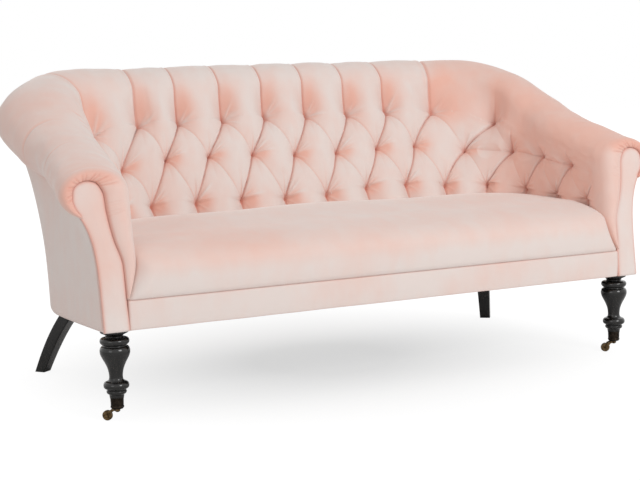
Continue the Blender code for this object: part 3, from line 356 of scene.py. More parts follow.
def add_node(tree, kind, inputs=(), out=0, **settings):
    """A new shader node with its settings and its inputs, values or sockets; gives one output."""
    n = tree.nodes.new("ShaderNode" + kind)
    for key, value in settings.items():
        setattr(n, key, value)
    for key, value in inputs:
        if isinstance(value, bpy.types.NodeSocket):
            tree.links.new(value, n.inputs[key])
        else:
            n.inputs[key].default_value = value
    return n.outputs[out] if len(n.outputs) else None


class Finish:
    """A node material with a principled shader, built up by small calls; _ in a socket's name is a space."""

    def __init__(self, name, **shader):
        self.mat = bpy.data.materials.new(name)
        self.mat.use_nodes = True
        self.tree = self.mat.node_tree
        self.shader = self.tree.nodes["Principled BSDF"]
        for key, value in shader.items():
            self.shader.inputs[key.replace("_", " ")].default_value = value
        self.where = self.tree.nodes.new("ShaderNodeTexCoord").outputs["Object"]

    def node(self, kind, inputs=(), out=0, **settings):
        return add_node(self.tree, kind, inputs, out, **settings)

    def feed(self, socket, name):
        self.tree.links.new(socket, self.shader.inputs[name])

    def noise(self, scale, detail=2.0, roughness=0.5, stretch=(1, 1, 1)):
        vector = self.node("Mapping", [("Vector", self.where), ("Scale", stretch)])
        return self.node("TexNoise", [("Vector", vector), ("Scale", scale), ("Detail", detail),
                                                ("Roughness", roughness)])

    def attribute(self, name):
        return self.node("Attribute", out=2, attribute_name=name)

    def span(self, value, a, b, low=0.0, high=1.0):
        return self.node("MapRange", [("Value", value), ("From Min", a), ("From Max", b),
                                                ("To Min", low), ("To Max", high)], clamp=True)

    def math(self, operation, a, b):
        return self.node("Math", [(0, a), (1, b)], operation=operation)

    def mix(self, factor, a, b):
        a, b = (x if isinstance(x, bpy.types.NodeSocket) else (*x, 1) for x in (a, b))
        return self.node("Mix", [(0, factor), (6, a), (7, b)], out=2, data_type="RGBA")

    def two_tone(self, value, spread, dark, bright):
        self.feed(self.mix(self.span(value, *spread), dark, bright), "Base Color")

    def bump(self, height, distance, strength=1.0, under=None):
        inputs = [("Height", height), ("Distance", distance), ("Strength", strength)]
        if under is not None:
            inputs.append(("Normal", under))
        normal = self.node("Bump", inputs)
        self.feed(normal, "Normal")
        return normal


def velvet():
    """Pink pile: rich or pale pink by a painted sheen and shade in the mesh, with brushed patches, and a
    painted shade in folds laid over.
    """
    f = Finish("pink velvet", Roughness=0.88, Sheen_Weight=SHEEN, Sheen_Roughness=0.45,
               Sheen_Tint=(1.0, 0.95, 0.92, 1))
    patches = f.span(f.noise(5.5, 3.0, 0.55), 0.34, 0.66, -PATCHES, PATCHES)
    strokes = f.span(f.noise(24.0, 2.0, 0.5, (1, 1, 0.45)), 0.33, 0.67, -STROKES, STROKES)
    # The painted sheen and shade, with random patches and strokes, mixes the rich and the pale pink
    sheen_shade_mix = f.math("ADD", f.attribute("sheen_and_shade"), f.math("ADD", patches, strokes))
    sheen_shade_mix = f.span(sheen_shade_mix, 0.0, 1.0)
    base = f.mix(sheen_shade_mix, SHADED_PINK, SHEEN_PALE)
    # Painted shade in folds, creases and seams laid over the pink
    f.feed(f.mix(f.math("MULTIPLY", f.attribute("fold_shade"), FOLD_SHADE_AMOUNT), base, FOLD_SHADE_PINK), "Base Color")
    soft = f.noise(90.0, 3.0, 0.55)
    under = f.bump(soft, 0.0008, 0.3)
    f.bump(f.noise(1500.0, 1.0, 0.6), 0.0003, 0.3, under)
    return f.mat


def toned(name, pattern, spread, dark, bright, rough=None, bump=None, **shader):
    """A material in two tones that follow a noise, which may also vary its gloss and raise its surface."""
    f = Finish(name, **shader)
    grain = f.noise(*pattern)
    f.two_tone(grain, spread, dark, bright)
    if rough:
        f.feed(f.span(grain, 0.3, 0.7, *rough), "Roughness")
    if bump:
        f.bump(grain, *bump)
    return f


def ebonised_wood():
    """Near-black stained wood under satin lacquer, with a faint upright grain."""
    return toned("ebonised wood", (60.0, 4.0, 0.6, (1, 1, 0.12)), (0.3, 0.7), (0.004, 0.0036, 0.0033),
                 (0.012, 0.011, 0.01), (0.22, 0.3), (0.0001, 0.35), Roughness=0.3, Specular_IOR_Level=0.1,
                 Coat_Weight=0.85, Coat_Roughness=0.09).mat


def antique_brass(name, dark, bright):
    """Aged brass: brown and darker in patches, with brighter rubbed spots."""
    f = toned(name, (120.0, 4.0, 0.6), (0.35, 0.68), dark, bright, (0.52, 0.32), Roughness=0.42, Metallic=1.0)
    f.bump(f.noise(700.0, 2.0, 0.5), 0.0002, 0.4)
    return f.mat


def ash_frame():
    """Pale frame timber with long grain and faint saw marks."""
    return toned("ash frame timber", (18.0, 5.0, 0.62, (0.25, 1, 1.6)), (0.32, 0.68), (0.47, 0.31, 0.17),
                 (0.66, 0.49, 0.31), bump=(0.0006, 0.5), Roughness=0.62).mat


def spring_steel():
    """Drawn wire and plate, oiled and slightly blotched."""
    return toned("spring steel", (45.0, 3.0, 0.6), (0.3, 0.7), (0.22, 0.22, 0.23), (0.42, 0.42, 0.43),
                 (0.3, 0.48), Roughness=0.38, Metallic=1.0).mat


def felt_deck():
    """Needled grey felt."""
    return toned("deck felt", (260.0, 4.0, 0.7), (0.3, 0.7), (0.36, 0.34, 0.3), (0.56, 0.54, 0.49),
                 bump=(0.0008, 0.6), Roughness=0.95, Sheen_Weight=0.3).mat


def black_cloth():
    """Thin black woven lining with a fine square weave."""
    f = Finish("dust cover cloth", Roughness=0.92)
    weave = f.math("MAXIMUM", *(f.node("TexWave", [("Vector", f.where), ("Scale", 220.0)], out=1,
                                       bands_direction=way) for way in "XY"))
    f.two_tone(weave, (0.2, 0.9), (0.012, 0.012, 0.014), (0.042, 0.042, 0.046))
    f.bump(weave, 0.0003, 0.5)
    return f.mat


VELVET = velvet()
EBONY = ebonised_wood()
BRASS = antique_brass("antique brass", (0.045, 0.029, 0.016), (0.22, 0.145, 0.07))
BRONZE = antique_brass("dark bronze", (0.013, 0.01, 0.008), (0.045, 0.034, 0.026))


# Meshes


def add_object(name, data):
    """A new object in the scene that shows the data."""
    obj = bpy.data.objects.new(name, data)
    bpy.context.scene.collection.objects.link(obj)
    return obj


def piece(name, points, faces, mat, body="settee", fold_shade=None, sheen_and_shade=None, weld=0.0):
    """A smooth mesh from whole arrays of points and of triangles or quads, riding on its body."""
    points = np.asarray(points, dtype=np.float64).reshape(-1, 3)
    mesh = bpy.data.meshes.new(name)
    mesh.vertices.add(len(points))
    mesh.vertices.foreach_set("co", points.ravel())
    sizes = join([np.full(len(f), np.asarray(f).shape[1]) for f in faces])
    mesh.loops.add(int(sizes.sum()))
    mesh.loops.foreach_set("vertex_index", join([np.asarray(f).ravel() for f in faces]))
    mesh.polygons.add(len(sizes))
    mesh.polygons.foreach_set("loop_start", join([[0], np.cumsum(sizes)[:-1]]))
    # Mesh attributes for the velvet: painted shade in folds, and painted sheen and shade
    for label, values in (("fold_shade", fold_shade), ("sheen_and_shade", sheen_and_shade)):
        if values is not None:
            layer = mesh.attributes.new(label, "FLOAT", "POINT")
            layer.data.foreach_set("value", np.clip(values, 0, 1).astype(np.float32).ravel())
    mesh.update(calc_edges=True)
    mesh.validate()
    if weld:
        bm = bmesh.new()
        bm.from_mesh(mesh)
        bmesh.ops.remove_doubles(bm, verts=bm.verts, dist=weld)
        bmesh.ops.dissolve_degenerate(bm, edges=bm.edges, dist=weld)
        bmesh.ops.recalc_face_normals(bm, faces=bm.faces)
        bm.to_mesh(mesh)
        bm.free()
    mesh.shade_smooth()
    mesh.materials.append(mat)
    obj = add_object(name, mesh)
    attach(obj, body)
    return obj


def grid_faces(nu, nv, wrap_u=False, wrap_v=False, start=0):
    """Quads of a grid whose point (i, j) has index start + i * nv + j."""
    i = np.arange(nu if wrap_u else nu - 1)[:, None]
    j = np.arange(nv if wrap_v else nv - 1)[None, :]
    i2, j2 = (i + 1) % nu, (j + 1) % nv
    quads = np.stack(np.broadcast_arrays(i * nv + j, i2 * nv + j, i2 * nv + j2, i * nv + j2), axis=-1)
    return quads.reshape(-1, 4) + start


def end_faces(nu, nv):
    """The two flat ends of a tube made of nu rings of nv points."""
    ring = np.arange(nv)
    return [ring[None], ((nu - 1) * nv + ring[::-1])[None]]


def squared(a):
    """Places at angles a on a square with rounded corners that reaches one to each side."""
    return [np.sign(s) * np.abs(s) ** ARRIS_POWER for s in (np.cos(a), np.sin(a))]


def tufts():
    """Column and row of every tuft: lower and upper rows all round, the top row on the back only."""
    for side in (-1, 1):
        for n in range(8):
            yield side * (n + 0.5), 1
        for n in range(1 if side < 0 else 0, 8):
            yield side * n, 2
        for n in range(5):
            yield side * (n + 0.5), 3


def warped(c, v):
    """Pattern coordinates of a place: rows and columns wander a little, the left corner's lean inward."""
    k, sign = np.abs(c), np.sign(c)
    lean = 0.4 * ease(-c, 2.4, 1.7) * (1 - ease(-c, 4.3, 1.3)) * np.clip((v - 1) / 2, 0, 1)
    wander_c = 0.02 * waves(c * 1.1, v * 1.3, 21, 7, 0.8, 2.2)
    wander_v = 0.03 * waves(c * 1.0, v * 1.2, 22, 7, 0.8, 2.2)
    pc = c + sign * lean + wander_c * ease((4.0 - np.abs(v - 2)) / 2)
    pv = v + 0.15 * bell(k - 4.4, 0.4) * bell(v - 2.8, 0.55) + wander_v * bell(v - 2, 1.6)
    pv = pv - 0.11 * bell(c - 2.0, 0.9) * bell(v - 1.12, 0.6)
    return pc, pv


def creases(rho, theta, spread, top_row):
    """Short creases that radiate from a tuft at distance rho and angle theta, the longest to its right."""
    fan = 0
    for angle, size in spread:
        off = np.abs((theta - angle + np.pi) % (2 * np.pi) - np.pi) * rho
        right = 0 <= angle < 1.6
        reach = 0.05 if right else 0.028
        if top_row:
            size, reach = size * (0.3 if angle > 0.85 else 1.0), 0.036
        swell = ease(rho / 0.009) * (1 - ease((rho - 0.01) / (reach * size)))
        fan = fan + size * bell(off, 0.0013 + 0.045 * rho) * swell * (1.0 if right else 0.5)
    return fan


def tufting(c, v):
    """Depth below the envelope, painted shade in the folds, and painted shade and highlight round the tufts,
    for every place.

    With p = c + (v - 2) / 2 and q = c - (v - 2) / 2 the pleats run along whole p and whole q and
    the stuffing stands up in diamonds between them. Those along q carry the sewn fold and are
    the deeper ones. Above the top row the folds run over the roll and fade, and on the arms a
    level fold joins the middle tufts under a plain roll. Each tuft is a pit in a shallow dish.
    """
    st = station(np.minimum(np.abs(c), C_END))
    front = 1 - ease((np.abs(c) - C_END + 0.5) / 0.42)
    columns, rows = c[:, 0], v[0]
    c, v = warped(c, v)
    k = np.abs(c)
    back = 1 - ease(k, 4.6, 0.5)
    arms = ease(k, 3.8, 0.9)
    right_end = ease(c, 3.9, 0.3)
    p, q = c + (v - 2) / 2, c - (v - 2) / 2
    to_half = c - 0.5 - np.round(c - 0.5)

    row = np.interp(v, (0, 1, 2, 3, 6), (LOWER_TUFT, LOWER_TUFT, MIDDLE_TUFT, 1.0, 1.0))
    h = ridge(q, 0.48) * (0.64 + 0.12 * arms + (0.36 - 0.12 * arms) * ridge(p, 0.75))
    diamond = (1 - h) * (1 - 0.45 * np.maximum(ridge(p, 2), ridge(q, 2)))
    at_half = (1 - ridge(c - 0.5, 1.2)) * (1 - 0.45 * ridge(c - 0.5, 2))
    at_whole = (1 - ridge(c, 1.2)) * (1 - 0.45 * ridge(c, 2))
    scallop = 1 - ridge(c - 0.5, 0.7)
    below = at_half * (0.55 + 0.45 * ease(v))
    above = at_half * (1 - ease(v, 3, 0.55))
    channel = scallop * ease(v, 3, 0.4) * np.interp(v, (3, 3.4, 4, 5, 6), (0.42, 0.34, 0.13, 0.07, 0.0))
    channel = channel * (1 - 0.9 * right_end * ease(v, 3.0, 0.35))
    on_arm = at_whole * (1 - ease(v, 2, 0.6))
    level = (1 - np.clip(np.abs(v - 2) / np.where(v > 2, 0.3, 0.42), 0, 1)) ** 1.8
    level_here = ease(k, 4.05, 0.3) * (1 - ease(k, 7.0, 0.3))
    upper = (above + channel) * back + on_arm * (1 - back)
    between = diamond * back + on_arm * (1 - back)
    share = np.where(v < 1, below, np.where(v <= 2, diamond, np.where(v <= 3, between, upper)))
    share = np.maximum(share, 0.27 * level * level_here)
    depth = st.depth * row * share * front

    on_q, on_p, whole = (np.abs(x - np.round(x)) * TUFT_PITCH for x in (q, p, c))
    upright = np.abs(to_half) * TUFT_PITCH
    top_edge = np.where(k < 5, 2.98, 1.98)
    inside = ease(v, 0.98, 0.04) * (1 - ease(v, top_edge, 0.04)) * np.where(v > 2, back, 1.0)
    soft_end = 1 - right_end * ease(v, 3.05, 0.35)
    pleat = bell(on_q, PLEAT_WIDTH) * inside
    cross = (0.25 - 0.18 * arms) * bell(on_p, CROSS_WIDTH) * inside
    over = bell(upright, PLEAT_WIDTH) * ease(v, 2.98, 0.05) * (1 - ease(v, 4.3, 1.2)) * back * soft_end
    foot_line = bell(upright, FOOT_WIDTH) * (1 - ease(v, 0.98, 0.04))
    arm_line = 1.35 * bell(whole, ARM_PLEAT_WIDTH) * ease(v, 2, 0.05) * (1 - ease(v, 2.25, 0.6))
    level_line = bell((v - 2) * (st.rows[3] - st.rows[2]), FOOT_WIDTH) * level_here
    lines = np.maximum.reduce([pleat, cross, over, foot_line, arm_line * (1 - back),
                               0.35 * (level_line * ease(k, 4.02, 0.1))]) * front
    depth = depth + PLEAT_GROOVE * lines

    lip = bell((q - np.round(q) + LIP_OFFSET) * TUFT_PITCH, LIP_WIDTH) * inside * ridge(p, 0.8)
    roll_lip = bell((to_half + ROLL_LIP_OFFSET) * TUFT_PITCH, ROLL_LIP_WIDTH) * ease(v, 3.1, 0.2)
    roll_lip = roll_lip * (1 - ease(v, 4.4, 0.8)) * back * soft_end
    depth = depth - (LIP_HEIGHT * lip + ROLL_LIP_HEIGHT * roll_lip) * front

    # Painted shade in the pleats and in the deeper parts; a painted highlight on the pleats' lips
    shade = (0.75 - 0.3 * arms) * lines + 0.16 * share * front
    shade_and_highlight = -0.3 * lip * front
    rng = np.random.default_rng(7)
    for tuft_c, tuft_v in tufts():
        spread = [(a + rng.uniform(-0.1, 0.1), rng.uniform(0.7, 1.25)) for a in CREASE_ANGLES]
        i = np.flatnonzero(np.abs(columns - tuft_c) < 0.75)
        j = np.flatnonzero(np.abs(rows - tuft_v) < 0.9)
        if not len(i):
            continue
        box = np.ix_(i, j)
        here = front[box]
        top_row = tuft_v > 2
        x, y = (c[box] - tuft_c) * TUFT_PITCH, (v[box] - tuft_v) * ROW_STEP
        rho, theta = np.hypot(x, y), np.arctan2(y, x)
        fan = creases(rho, theta, spread, top_row)
        # Painted shade in a pocket beside each tuft and round it; painted highlights on its short creases
        away = bell(x - 0.02, 0.022) * (bell(y - 0.026, 0.03) if top_row else bell(y + 0.004, 0.017))
        pocket_shade, ring_shade = (0.44, 0.2) if top_row else (0.6, 0.75)
        pit = PIT_DEPTH * bell(rho, PIT_WIDTH) + DISH_DEPTH * bell(rho, DISH_WIDTH)
        depth[box] += here * (pit - CREASE_HEIGHT * fan)
        shade[box] += here * (0.65 * bell(rho, 0.0075) + 0.14 * bell(rho, 0.024))
        shade_and_highlight[box] += here * (pocket_shade * away + 0.3 * ring_shade * bell(rho, 0.022) - 0.5 * np.clip(fan, 0, 1))
    loose = waves(c * 2.2, v * 2.6, 3, 12, 1.2, 4.5) * 0.0011 + waves(c * 9, v * 8, 5, 10, 0.8, 2.6) * 0.00028
    depth = depth + loose * (1 - 0.6 * np.clip(share, 0, 1))
    return depth, np.clip(shade, 0, 1), shade_and_highlight


def outer_wrinkles(c, v):
    """Two shallow creases across the outer half of each arm's roll, and a few short puckers: their depth, and
    their marks for a painted crease shade.
    """
    k = np.abs(c)
    line_a = bell((k - 5.55 - 0.1 * (v - 4.4)) * TUFT_PITCH, 0.003) * bell(v - 4.55, 0.42)
    line_b = bell((k - 6.55 - 0.12 * (v - 4.4)) * TUFT_PITCH, 0.003) * bell(v - 4.6, 0.34)
    swell = bell((k - 6.05) * TUFT_PITCH, 0.045) * bell(v - 4.6, 0.5)
    nips = 0
    for at_c, at_v in NIPS:
        nips = nips + bell((c - at_c) * TUFT_PITCH, 0.0026) * bell((v - at_v) * 0.1, 0.007)
    return 0.0022 * line_a + 0.0018 * line_b - 0.0022 * swell + 0.0016 * nips, line_a + line_b + nips


def padding_grid(line_r, line_z, rows):
    """Columns of the padding with its two rounded ends, share across each end, and shade of the gathers.

    An end is half an ellipse from the outer skin across to the facing's outline: it bulges
    forward in the middle and dips into the seam.
    """
    inner_end = C_END - BLEND_COLUMNS
    core_c = np.linspace(-inner_end, inner_end, int(round(2 * inner_end * GRID)) + 1)
    end = station(np.array([[C_END]]))
    skin_r, skin_z = on_section(end, arc_length(end, rows), 0)
    thick = np.hypot(line_r - skin_r, line_z - skin_z)
    bulge = END_BULGE + END_BULGE_SHARE * thick
    shoulder = END_SHOULDER * thick
    t = (np.arange(1, BLEND_STEPS + 1) / BLEND_STEPS)[:, None]
    start_c = END_C - shoulder / ARM_PITCH
    blend_c = blend(inner_end, start_c, t)
    a = (np.arange(1, END_STEPS + 1) / END_STEPS * np.pi)[:, None]
    across = (1 - np.cos(a)) / 2
    gather, gather_shade = gathers(rows, across)
    forward = np.where(a < np.pi / 2, -shoulder + (shoulder + bulge) * np.sin(a),
                       -SEAM_GROOVE + (bulge + SEAM_GROOVE) * np.sin(a)) - gather
    right_c = join([blend_c, END_C + forward / ARM_PITCH])
    none, flat = np.zeros((len(core_c), ROWS + 1)), np.zeros((BLEND_STEPS, ROWS + 1))
    over = join([flat, np.broadcast_to(across, (END_STEPS, ROWS + 1))])
    caps = join([flat, gather_shade])
    return (join([-right_c[::-1], np.broadcast_to(core_c[:, None], none.shape), right_c]),
            join([over[::-1], none, over]), join([caps[::-1], none, caps]))


def skin_faces(c, v):
    """Triangles of the skin, each quad cut along the pleat that lies nearer to it."""
    mid = (slice(0, -1), slice(0, -1))
    half_row = 3 / ROWS
    mid_c, up = (c[mid] + c[1:, 1:]) / 2, (v[mid] + half_row - 2) / 2
    q, p = mid_c - up, mid_c + up
    rising = (np.abs(q - np.round(q)) < np.abs(p - np.round(p))).ravel()
    a, b, c3, d = grid_faces(*c.shape).T
    return join([np.stack([a, b, c3], 1)[rising], np.stack([a, c3, d], 1)[rising],
                 np.stack([a, b, d], 1)[~rising], np.stack([b, c3, d], 1)[~rising]])


def inside_faces(c, v):
    """The padding's plain inner side: its points, and the quads and rims that join it to the skin."""
    nu, nv = c.shape
    plain = np.flatnonzero(np.abs(c).max(1) < C_END - 0.06)
    inner_at = plain[::INNER_STRIDE]
    keep = join([[0], inner_at, [nu - 1]])
    inner = place(c[inner_at], *lining(station(np.abs(c[inner_at])), v[inner_at]))
    ring = np.arange(nv)
    index = join([[ring], nu * nv + np.arange(len(inner_at) * nv).reshape(-1, nv), [(nu - 1) * nv + ring]])
    ia, ib = index[:-1], index[1:]
    quads = np.stack([ia[:, :-1], ia[:, 1:], ib[:, 1:], ib[:, :-1]], axis=-1).reshape(-1, 4)
    rims = []
    for j, flip in ((0, False), (nv - 1, True)):
        for n, (k0, k1) in enumerate(zip(keep[:-1], keep[1:])):
            mid_k = (k0 + k1) // 2
            o = np.arange(k0, k1)
            apex = np.where(o < mid_k, index[n, j], index[n + 1, j])
            fan = np.stack([o * nv + j, apex, (o + 1) * nv + j], 1)
            fan = join([fan, [[mid_k * nv + j, index[n, j], index[n + 1, j]]]])
            ok = (fan[:, 0] != fan[:, 1]) & (fan[:, 1] != fan[:, 2]) & (fan[:, 0] != fan[:, 2])
            rims.append(fan[ok][:, ::-1] if flip else fan[ok])
    return inner.reshape(-1, 3), [*rims, quads]


def padding():
    """The tufted lining of back and arms in one piece, rounded over into the facings at its ends.

    Near its foot each end tapers to a tip beside the seat's front.
    """
    rows = np.linspace(0, 6, ROWS + 1)[None, :]
    line_r, line_z = lining(station(np.array([[C_END]])), rows)
    c, over, caps = padding_grid(line_r, line_z, rows)
    v = np.broadcast_to(rows, c.shape)
    flat_c = np.clip(c, -C_END, C_END)
    depth, shade, shade_and_highlight = tufting(flat_c, v)
    wrinkle, crease_shade = outer_wrinkles(flat_c, v)
    fade = 1 - ease((np.abs(c) - C_END + 0.3) / 0.22)
    depth = (depth + wrinkle) * fade
    st = station(np.minimum(np.abs(c), C_END))
    r, z = on_section(st, arc_length(st, v), depth + pad_taper(c, v))
    points = place(c, blend(r, line_r, over), blend(z, line_z, over))
    # Painted shade and highlight on the pile; painted shade in pleats, creases, gathers and along the seam at
    # the ends
    sheen_and_shade = pad_sheen_and_shade(c, v, depth, over) - shade_and_highlight * fade
    fold_shade = (shade * fade + 0.35 * crease_shade * fade + caps + 0.85 * ease((over - SEAM_SHADE_RISE) / (1 - SEAM_SHADE_RISE))
            + 0.3 * ease(over, 0.04, 0.25) * ease(v, 3.2, 0.5))
    inner, inner_faces = inside_faces(c, v)
    none = np.zeros(len(inner))
    obj = piece("tufted_padding", join([points.reshape(-1, 3), inner]),
                [skin_faces(c, v), *inner_faces], VELVET,
                fold_shade=join([fold_shade.ravel(), none]), sheen_and_shade=join([sheen_and_shade.ravel(), none]))
    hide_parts("back_pad", "arm_pad_left", "arm_pad_right")


def pad_taper(c, v):
    """Extra depth that draws the padding's lower end out to a tip beside the seat's front."""
    return TIP_DEPTH * np.clip(1 - np.clip(v, 0, 9) / TIP_ROWS, 0, 1) ** 1.6 * ease(np.abs(c), 7.1, 0.6)


def pad_sheen_and_shade(c, v, depth, over):
    """Painted sheen and shade of the pile: rich pink painted where the stuffing rises to the right, on the
    right arm, over the left roll's top and on the ends; pale where it falls away or faces up.
    """
    step_c = np.gradient(c, axis=0)
    step_c = np.where(np.abs(step_c) < 1e-3, 1.0, step_c)
    rise = -np.gradient(depth, axis=0) / (step_c * TUFT_PITCH)
    lift = np.gradient(depth, axis=1) / (6 / ROWS * 0.11)
    right, left = ease(c, 3.9, 1.6), ease(-c, 4.6, 1.2)
    right = np.maximum(right, 0.7 * ease(v, 2.25, 0.85) * ease(c, 3.42, 0.4))
    top = ease(v, 3.3, 0.9)
    # Painted light and shade: a little paler on top and on the left, painted shade over the right arm and the
    # left roll's top
    sheen_shade_mix = PAD_SHEEN + 0.04 * top - right * (RIGHT_ARM_SHADE + RIGHT_ROLL_SHADE * ease(v, 2.2, 0.8))
    sheen_shade_mix = sheen_shade_mix + 0.06 * left - LEFT_ROLL_SHADE * top * ease(-c, 3.8, 1.2)
    # Painted shade where the surface rises to the right, painted sheen where it tilts up
    sheen_shade_mix = sheen_shade_mix - 0.4 * np.tanh(1.6 * rise) * (1 - ease(over / 0.1)) + 0.1 * np.tanh(1.5 * lift)
    # Painted shade over the arm's ends, deepest round the scroll
    end = ease((np.abs(c) - C_END + 0.25) / 0.2)
    end_shade = 0.42 - 0.46 * ease(v, 3.0, 0.6)
    return sheen_shade_mix + (end_shade - sheen_shade_mix) * end * ease(0.42 + over)


def gathers(v, across):
    """Small pleats where the padding is drawn into the facing's seam round the scroll and beside it."""
    rng = np.random.default_rng(19)
    spots = [(3.25 + 0.17 * n + rng.uniform(-0.05, 0.05), rng.uniform(0.7, 1.3), 0.0) for n in range(13)]
    spots += [(1.7 + 0.12 * n + rng.uniform(-0.02, 0.02), rng.uniform(0.15, 0.45), 0.45) for n in range(5)]
    total = 0
    shade = 0
    for at, size, slant in spots:
        line = bell((v - at - slant * (1 - across)) * 0.09, GATHER_WIDTH)
        reach = ease(across, 0.22, 0.35) * (1 - ease(across, 0.97, 0.03))
        total = total + GATHER_DEPTH * size * line * reach
        shade = shade + 0.35 * size * line * reach
    return total, shade


def facing_outline():
    """Reach and height of the keyhole panel: its inner edge up to the scroll's top, and its outer edge."""
    st = station(np.array([C_END]))
    v = np.linspace(0, 6, 240)
    r, z = lining(st, v)
    foot_z = np.linspace(BASE_Z, z[0], 14)[:-1]
    foot_r = FACING_FOOT + (r[0] - FACING_FOOT) * ease((foot_z - BASE_Z) / (z[0] - BASE_Z))
    r, z = join([foot_r, r]) + 2 * GAP, join([foot_z, z])
    top = int(np.argmax(z))
    z[top - 60:] -= 2 * GAP
    r[top:] -= 4 * GAP
    waist = z[-1] - 0.004
    out_z = np.linspace(BASE_Z, waist, 80)
    out_r = cover_r(np.array([C_END]), out_z)
    outer = np.stack([join([out_r, r[top:][::-1]]), join([out_z, z[top:][::-1]])], 1)
    return np.stack([r[:top + 1], z[:top + 1]], 1), outer


def resample(points, n):
    """n places at even lengths along an open line."""
    seg = np.hypot(*np.diff(points, axis=0).T)
    s = join([[0], np.cumsum(seg)])
    t = np.linspace(0, s[-1], n)
    return np.stack([np.interp(t, s, points[:, 0]), np.interp(t, s, points[:, 1])], 1)


def facing(sign, side):
    """Front panel of an arm: a padded strip between its two edges, turned in at the seams."""
    inner, outer = facing_outline()
    n_up, n_w = 150, 44
    left, right = resample(inner, n_up), resample(outer, n_up)
    w = (1 - np.cos(np.linspace(0, np.pi, n_w))) / 2
    flat = left[:, None, :] * (1 - w[None, :, None]) + right[:, None, :] * w[None, :, None]
    edge = join([resample(inner, 260), resample(outer, 300)])
    gap = np.sqrt(((flat[:, :, None, :] - edge[None, None, :, :]) ** 2).sum(-1)).min(-1)
    turn = np.clip(gap / FACING_TURN, 0, 1)
    dome = (-SEAM_GROOVE * (1 - np.sqrt(1 - (1 - turn) ** 2)) - 0.0006
            + FACING_DOME * (1 - np.exp(-gap / 0.02)))
    dome = dome - 0.003 * (1 - np.clip((flat[..., 1] - BASE_Z) / 0.006, 0, 1)) ** 2
    dome = dome + 0.0006 * waves(flat[..., 0] * 60, flat[..., 1] * 40, 31, 6, 0.7, 1.6) * turn
    front = place(sign * (END_C + dome / ARM_PITCH), flat[..., 0], flat[..., 1])
    back = place(np.full(flat.shape[:2], sign * C_END), flat[..., 0], flat[..., 1])
    nu, nv = flat.shape[:2]
    points = join([front.reshape(-1, 3), back.reshape(-1, 3)])
    n = nu * nv
    f = grid_faces(nu, nv)
    b = grid_faces(nu, nv, start=n)[:, ::-1]
    grid = np.arange(n).reshape(nu, nv)
    ring = join([grid[0], grid[1:, -1], grid[-1, -2::-1], grid[-2:0:-1, 0]])
    nxt = np.roll(ring, -1)
    rim = np.stack([ring, ring + n, nxt + n, nxt], 1)
    # Painted shade along the seams
    reach = np.where(w[None, :] < 0.5, RIGHT_SEAM_SHADE if sign > 0 else FACING_SEAM_SHADE, FACING_SEAM_SHADE)
    fold_shade = join([(0.95 * np.exp(-((gap / reach) ** 1.5))).ravel(), np.full(n, 0.5)])
    up = flat[..., 1]
    # Painted sheen and shade by height: pale low down, rich in the middle, paler at the head; the right
    # facing is painted paler still, as if lit
    sheen_shade_mix = np.interp(up, (0.23, 0.3, 0.38, 0.44, 0.52, 0.57), (0.92, 0.8, 0.38, 0.34, 0.6, 0.72))
    if sign > 0:
        sheen_shade_mix = blend(sheen_shade_mix, 0.96, 0.75)
    sheen_and_shade = join([(sheen_shade_mix + 0.1 * waves(flat[..., 0] * 40, up * 22, 33, 6, 0.7, 1.6)).ravel(), np.zeros(n)])
    obj = piece(f"arm_front_{side}", points, [f, b, rim], VELVET, fold_shade=fold_shade, sheen_and_shade=sheen_and_shade, weld=1e-6)
    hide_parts(f"arm_facing_{side}")


def outside(name, node, c0, c1, seed):
    """Outside cover from its base to under the roll, with turned edges at its seams and base."""
    nu = int(abs(c1 - c0) * 28) + 1
    nv = 64
    c = np.linspace(c0, c1, nu)[:, None]
    k = np.clip(np.abs(c), 0, C_END)
    st = station(k)
    waist_r, _ = on_roll(st, WAIST_ANGLE, 0)
    top = under_roll(k, waist_r, 2 * GAP)
    t = np.linspace(0, 1, nv)[None, :]
    z = BASE_Z + (top - BASE_Z) * t
    r = cover_r(k, z)
    pitch = np.where(k < C_ARM, TUFT_PITCH, ARM_PITCH)
    to_end = np.minimum(np.abs(c - c0), np.abs(c - c1)) * pitch
    to_base = z - BASE_Z
    turn = 0.0032 * (1 - ease(to_end / 0.006)) + 0.0036 * (1 - ease(to_base / 0.008))
    loose = 0.0009 * waves(c * 3.0, z * 14, seed, 9, 0.6, 1.9) * ease(to_end / 0.05) * ease(to_base / 0.04)
    drag = 0.0007 * waves(c * 1.2, z * 60, seed + 1, 5, 0.8, 1.2) * ease(t, 0.75, 0.25)
    out = place(c, r - turn - loose - drag, z)
    in_r = cover_r(k, top) - COVER
    in_top = under_roll(k, in_r, 2 * GAP)
    z_in = BASE_Z + (in_top - BASE_Z) * t[:, ::-1]
    inner = place(c, cover_r(k, np.minimum(z_in, top)) - COVER, z_in)
    loop = join([out, inner], axis=1)
    n = loop.shape[1]
    sides = grid_faces(nu, n, wrap_v=True)
    ends = []
    j = np.arange(nv - 1)
    for i, flip in ((0, True), (nu - 1, False)):
        cap = np.stack([i * n + j, i * n + j + 1, i * n + (n - 2 - j), i * n + (n - 1 - j)], 1)
        ends.append(cap[:, ::-1] if flip else cap)
    # Painted shade along the seams at the ends, along the base and under the roll; the pile is set evenly
    # near its pale, painted-sheen end
    fold_shade = join([0.8 * bell(to_end, 0.004) + 0.35 * bell(to_base + 0 * to_end, 0.004)
                 + 0.4 * ease(t, 0.96, 0.04), np.zeros((nu, nv))], axis=1)
    sheen_and_shade = np.full(fold_shade.shape, 0.88)
    obj = piece(name, loop, [sides[:, ::-1], *ends], VELVET, fold_shade=fold_shade, sheen_and_shade=sheen_and_shade, weld=1e-6)
    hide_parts(node)


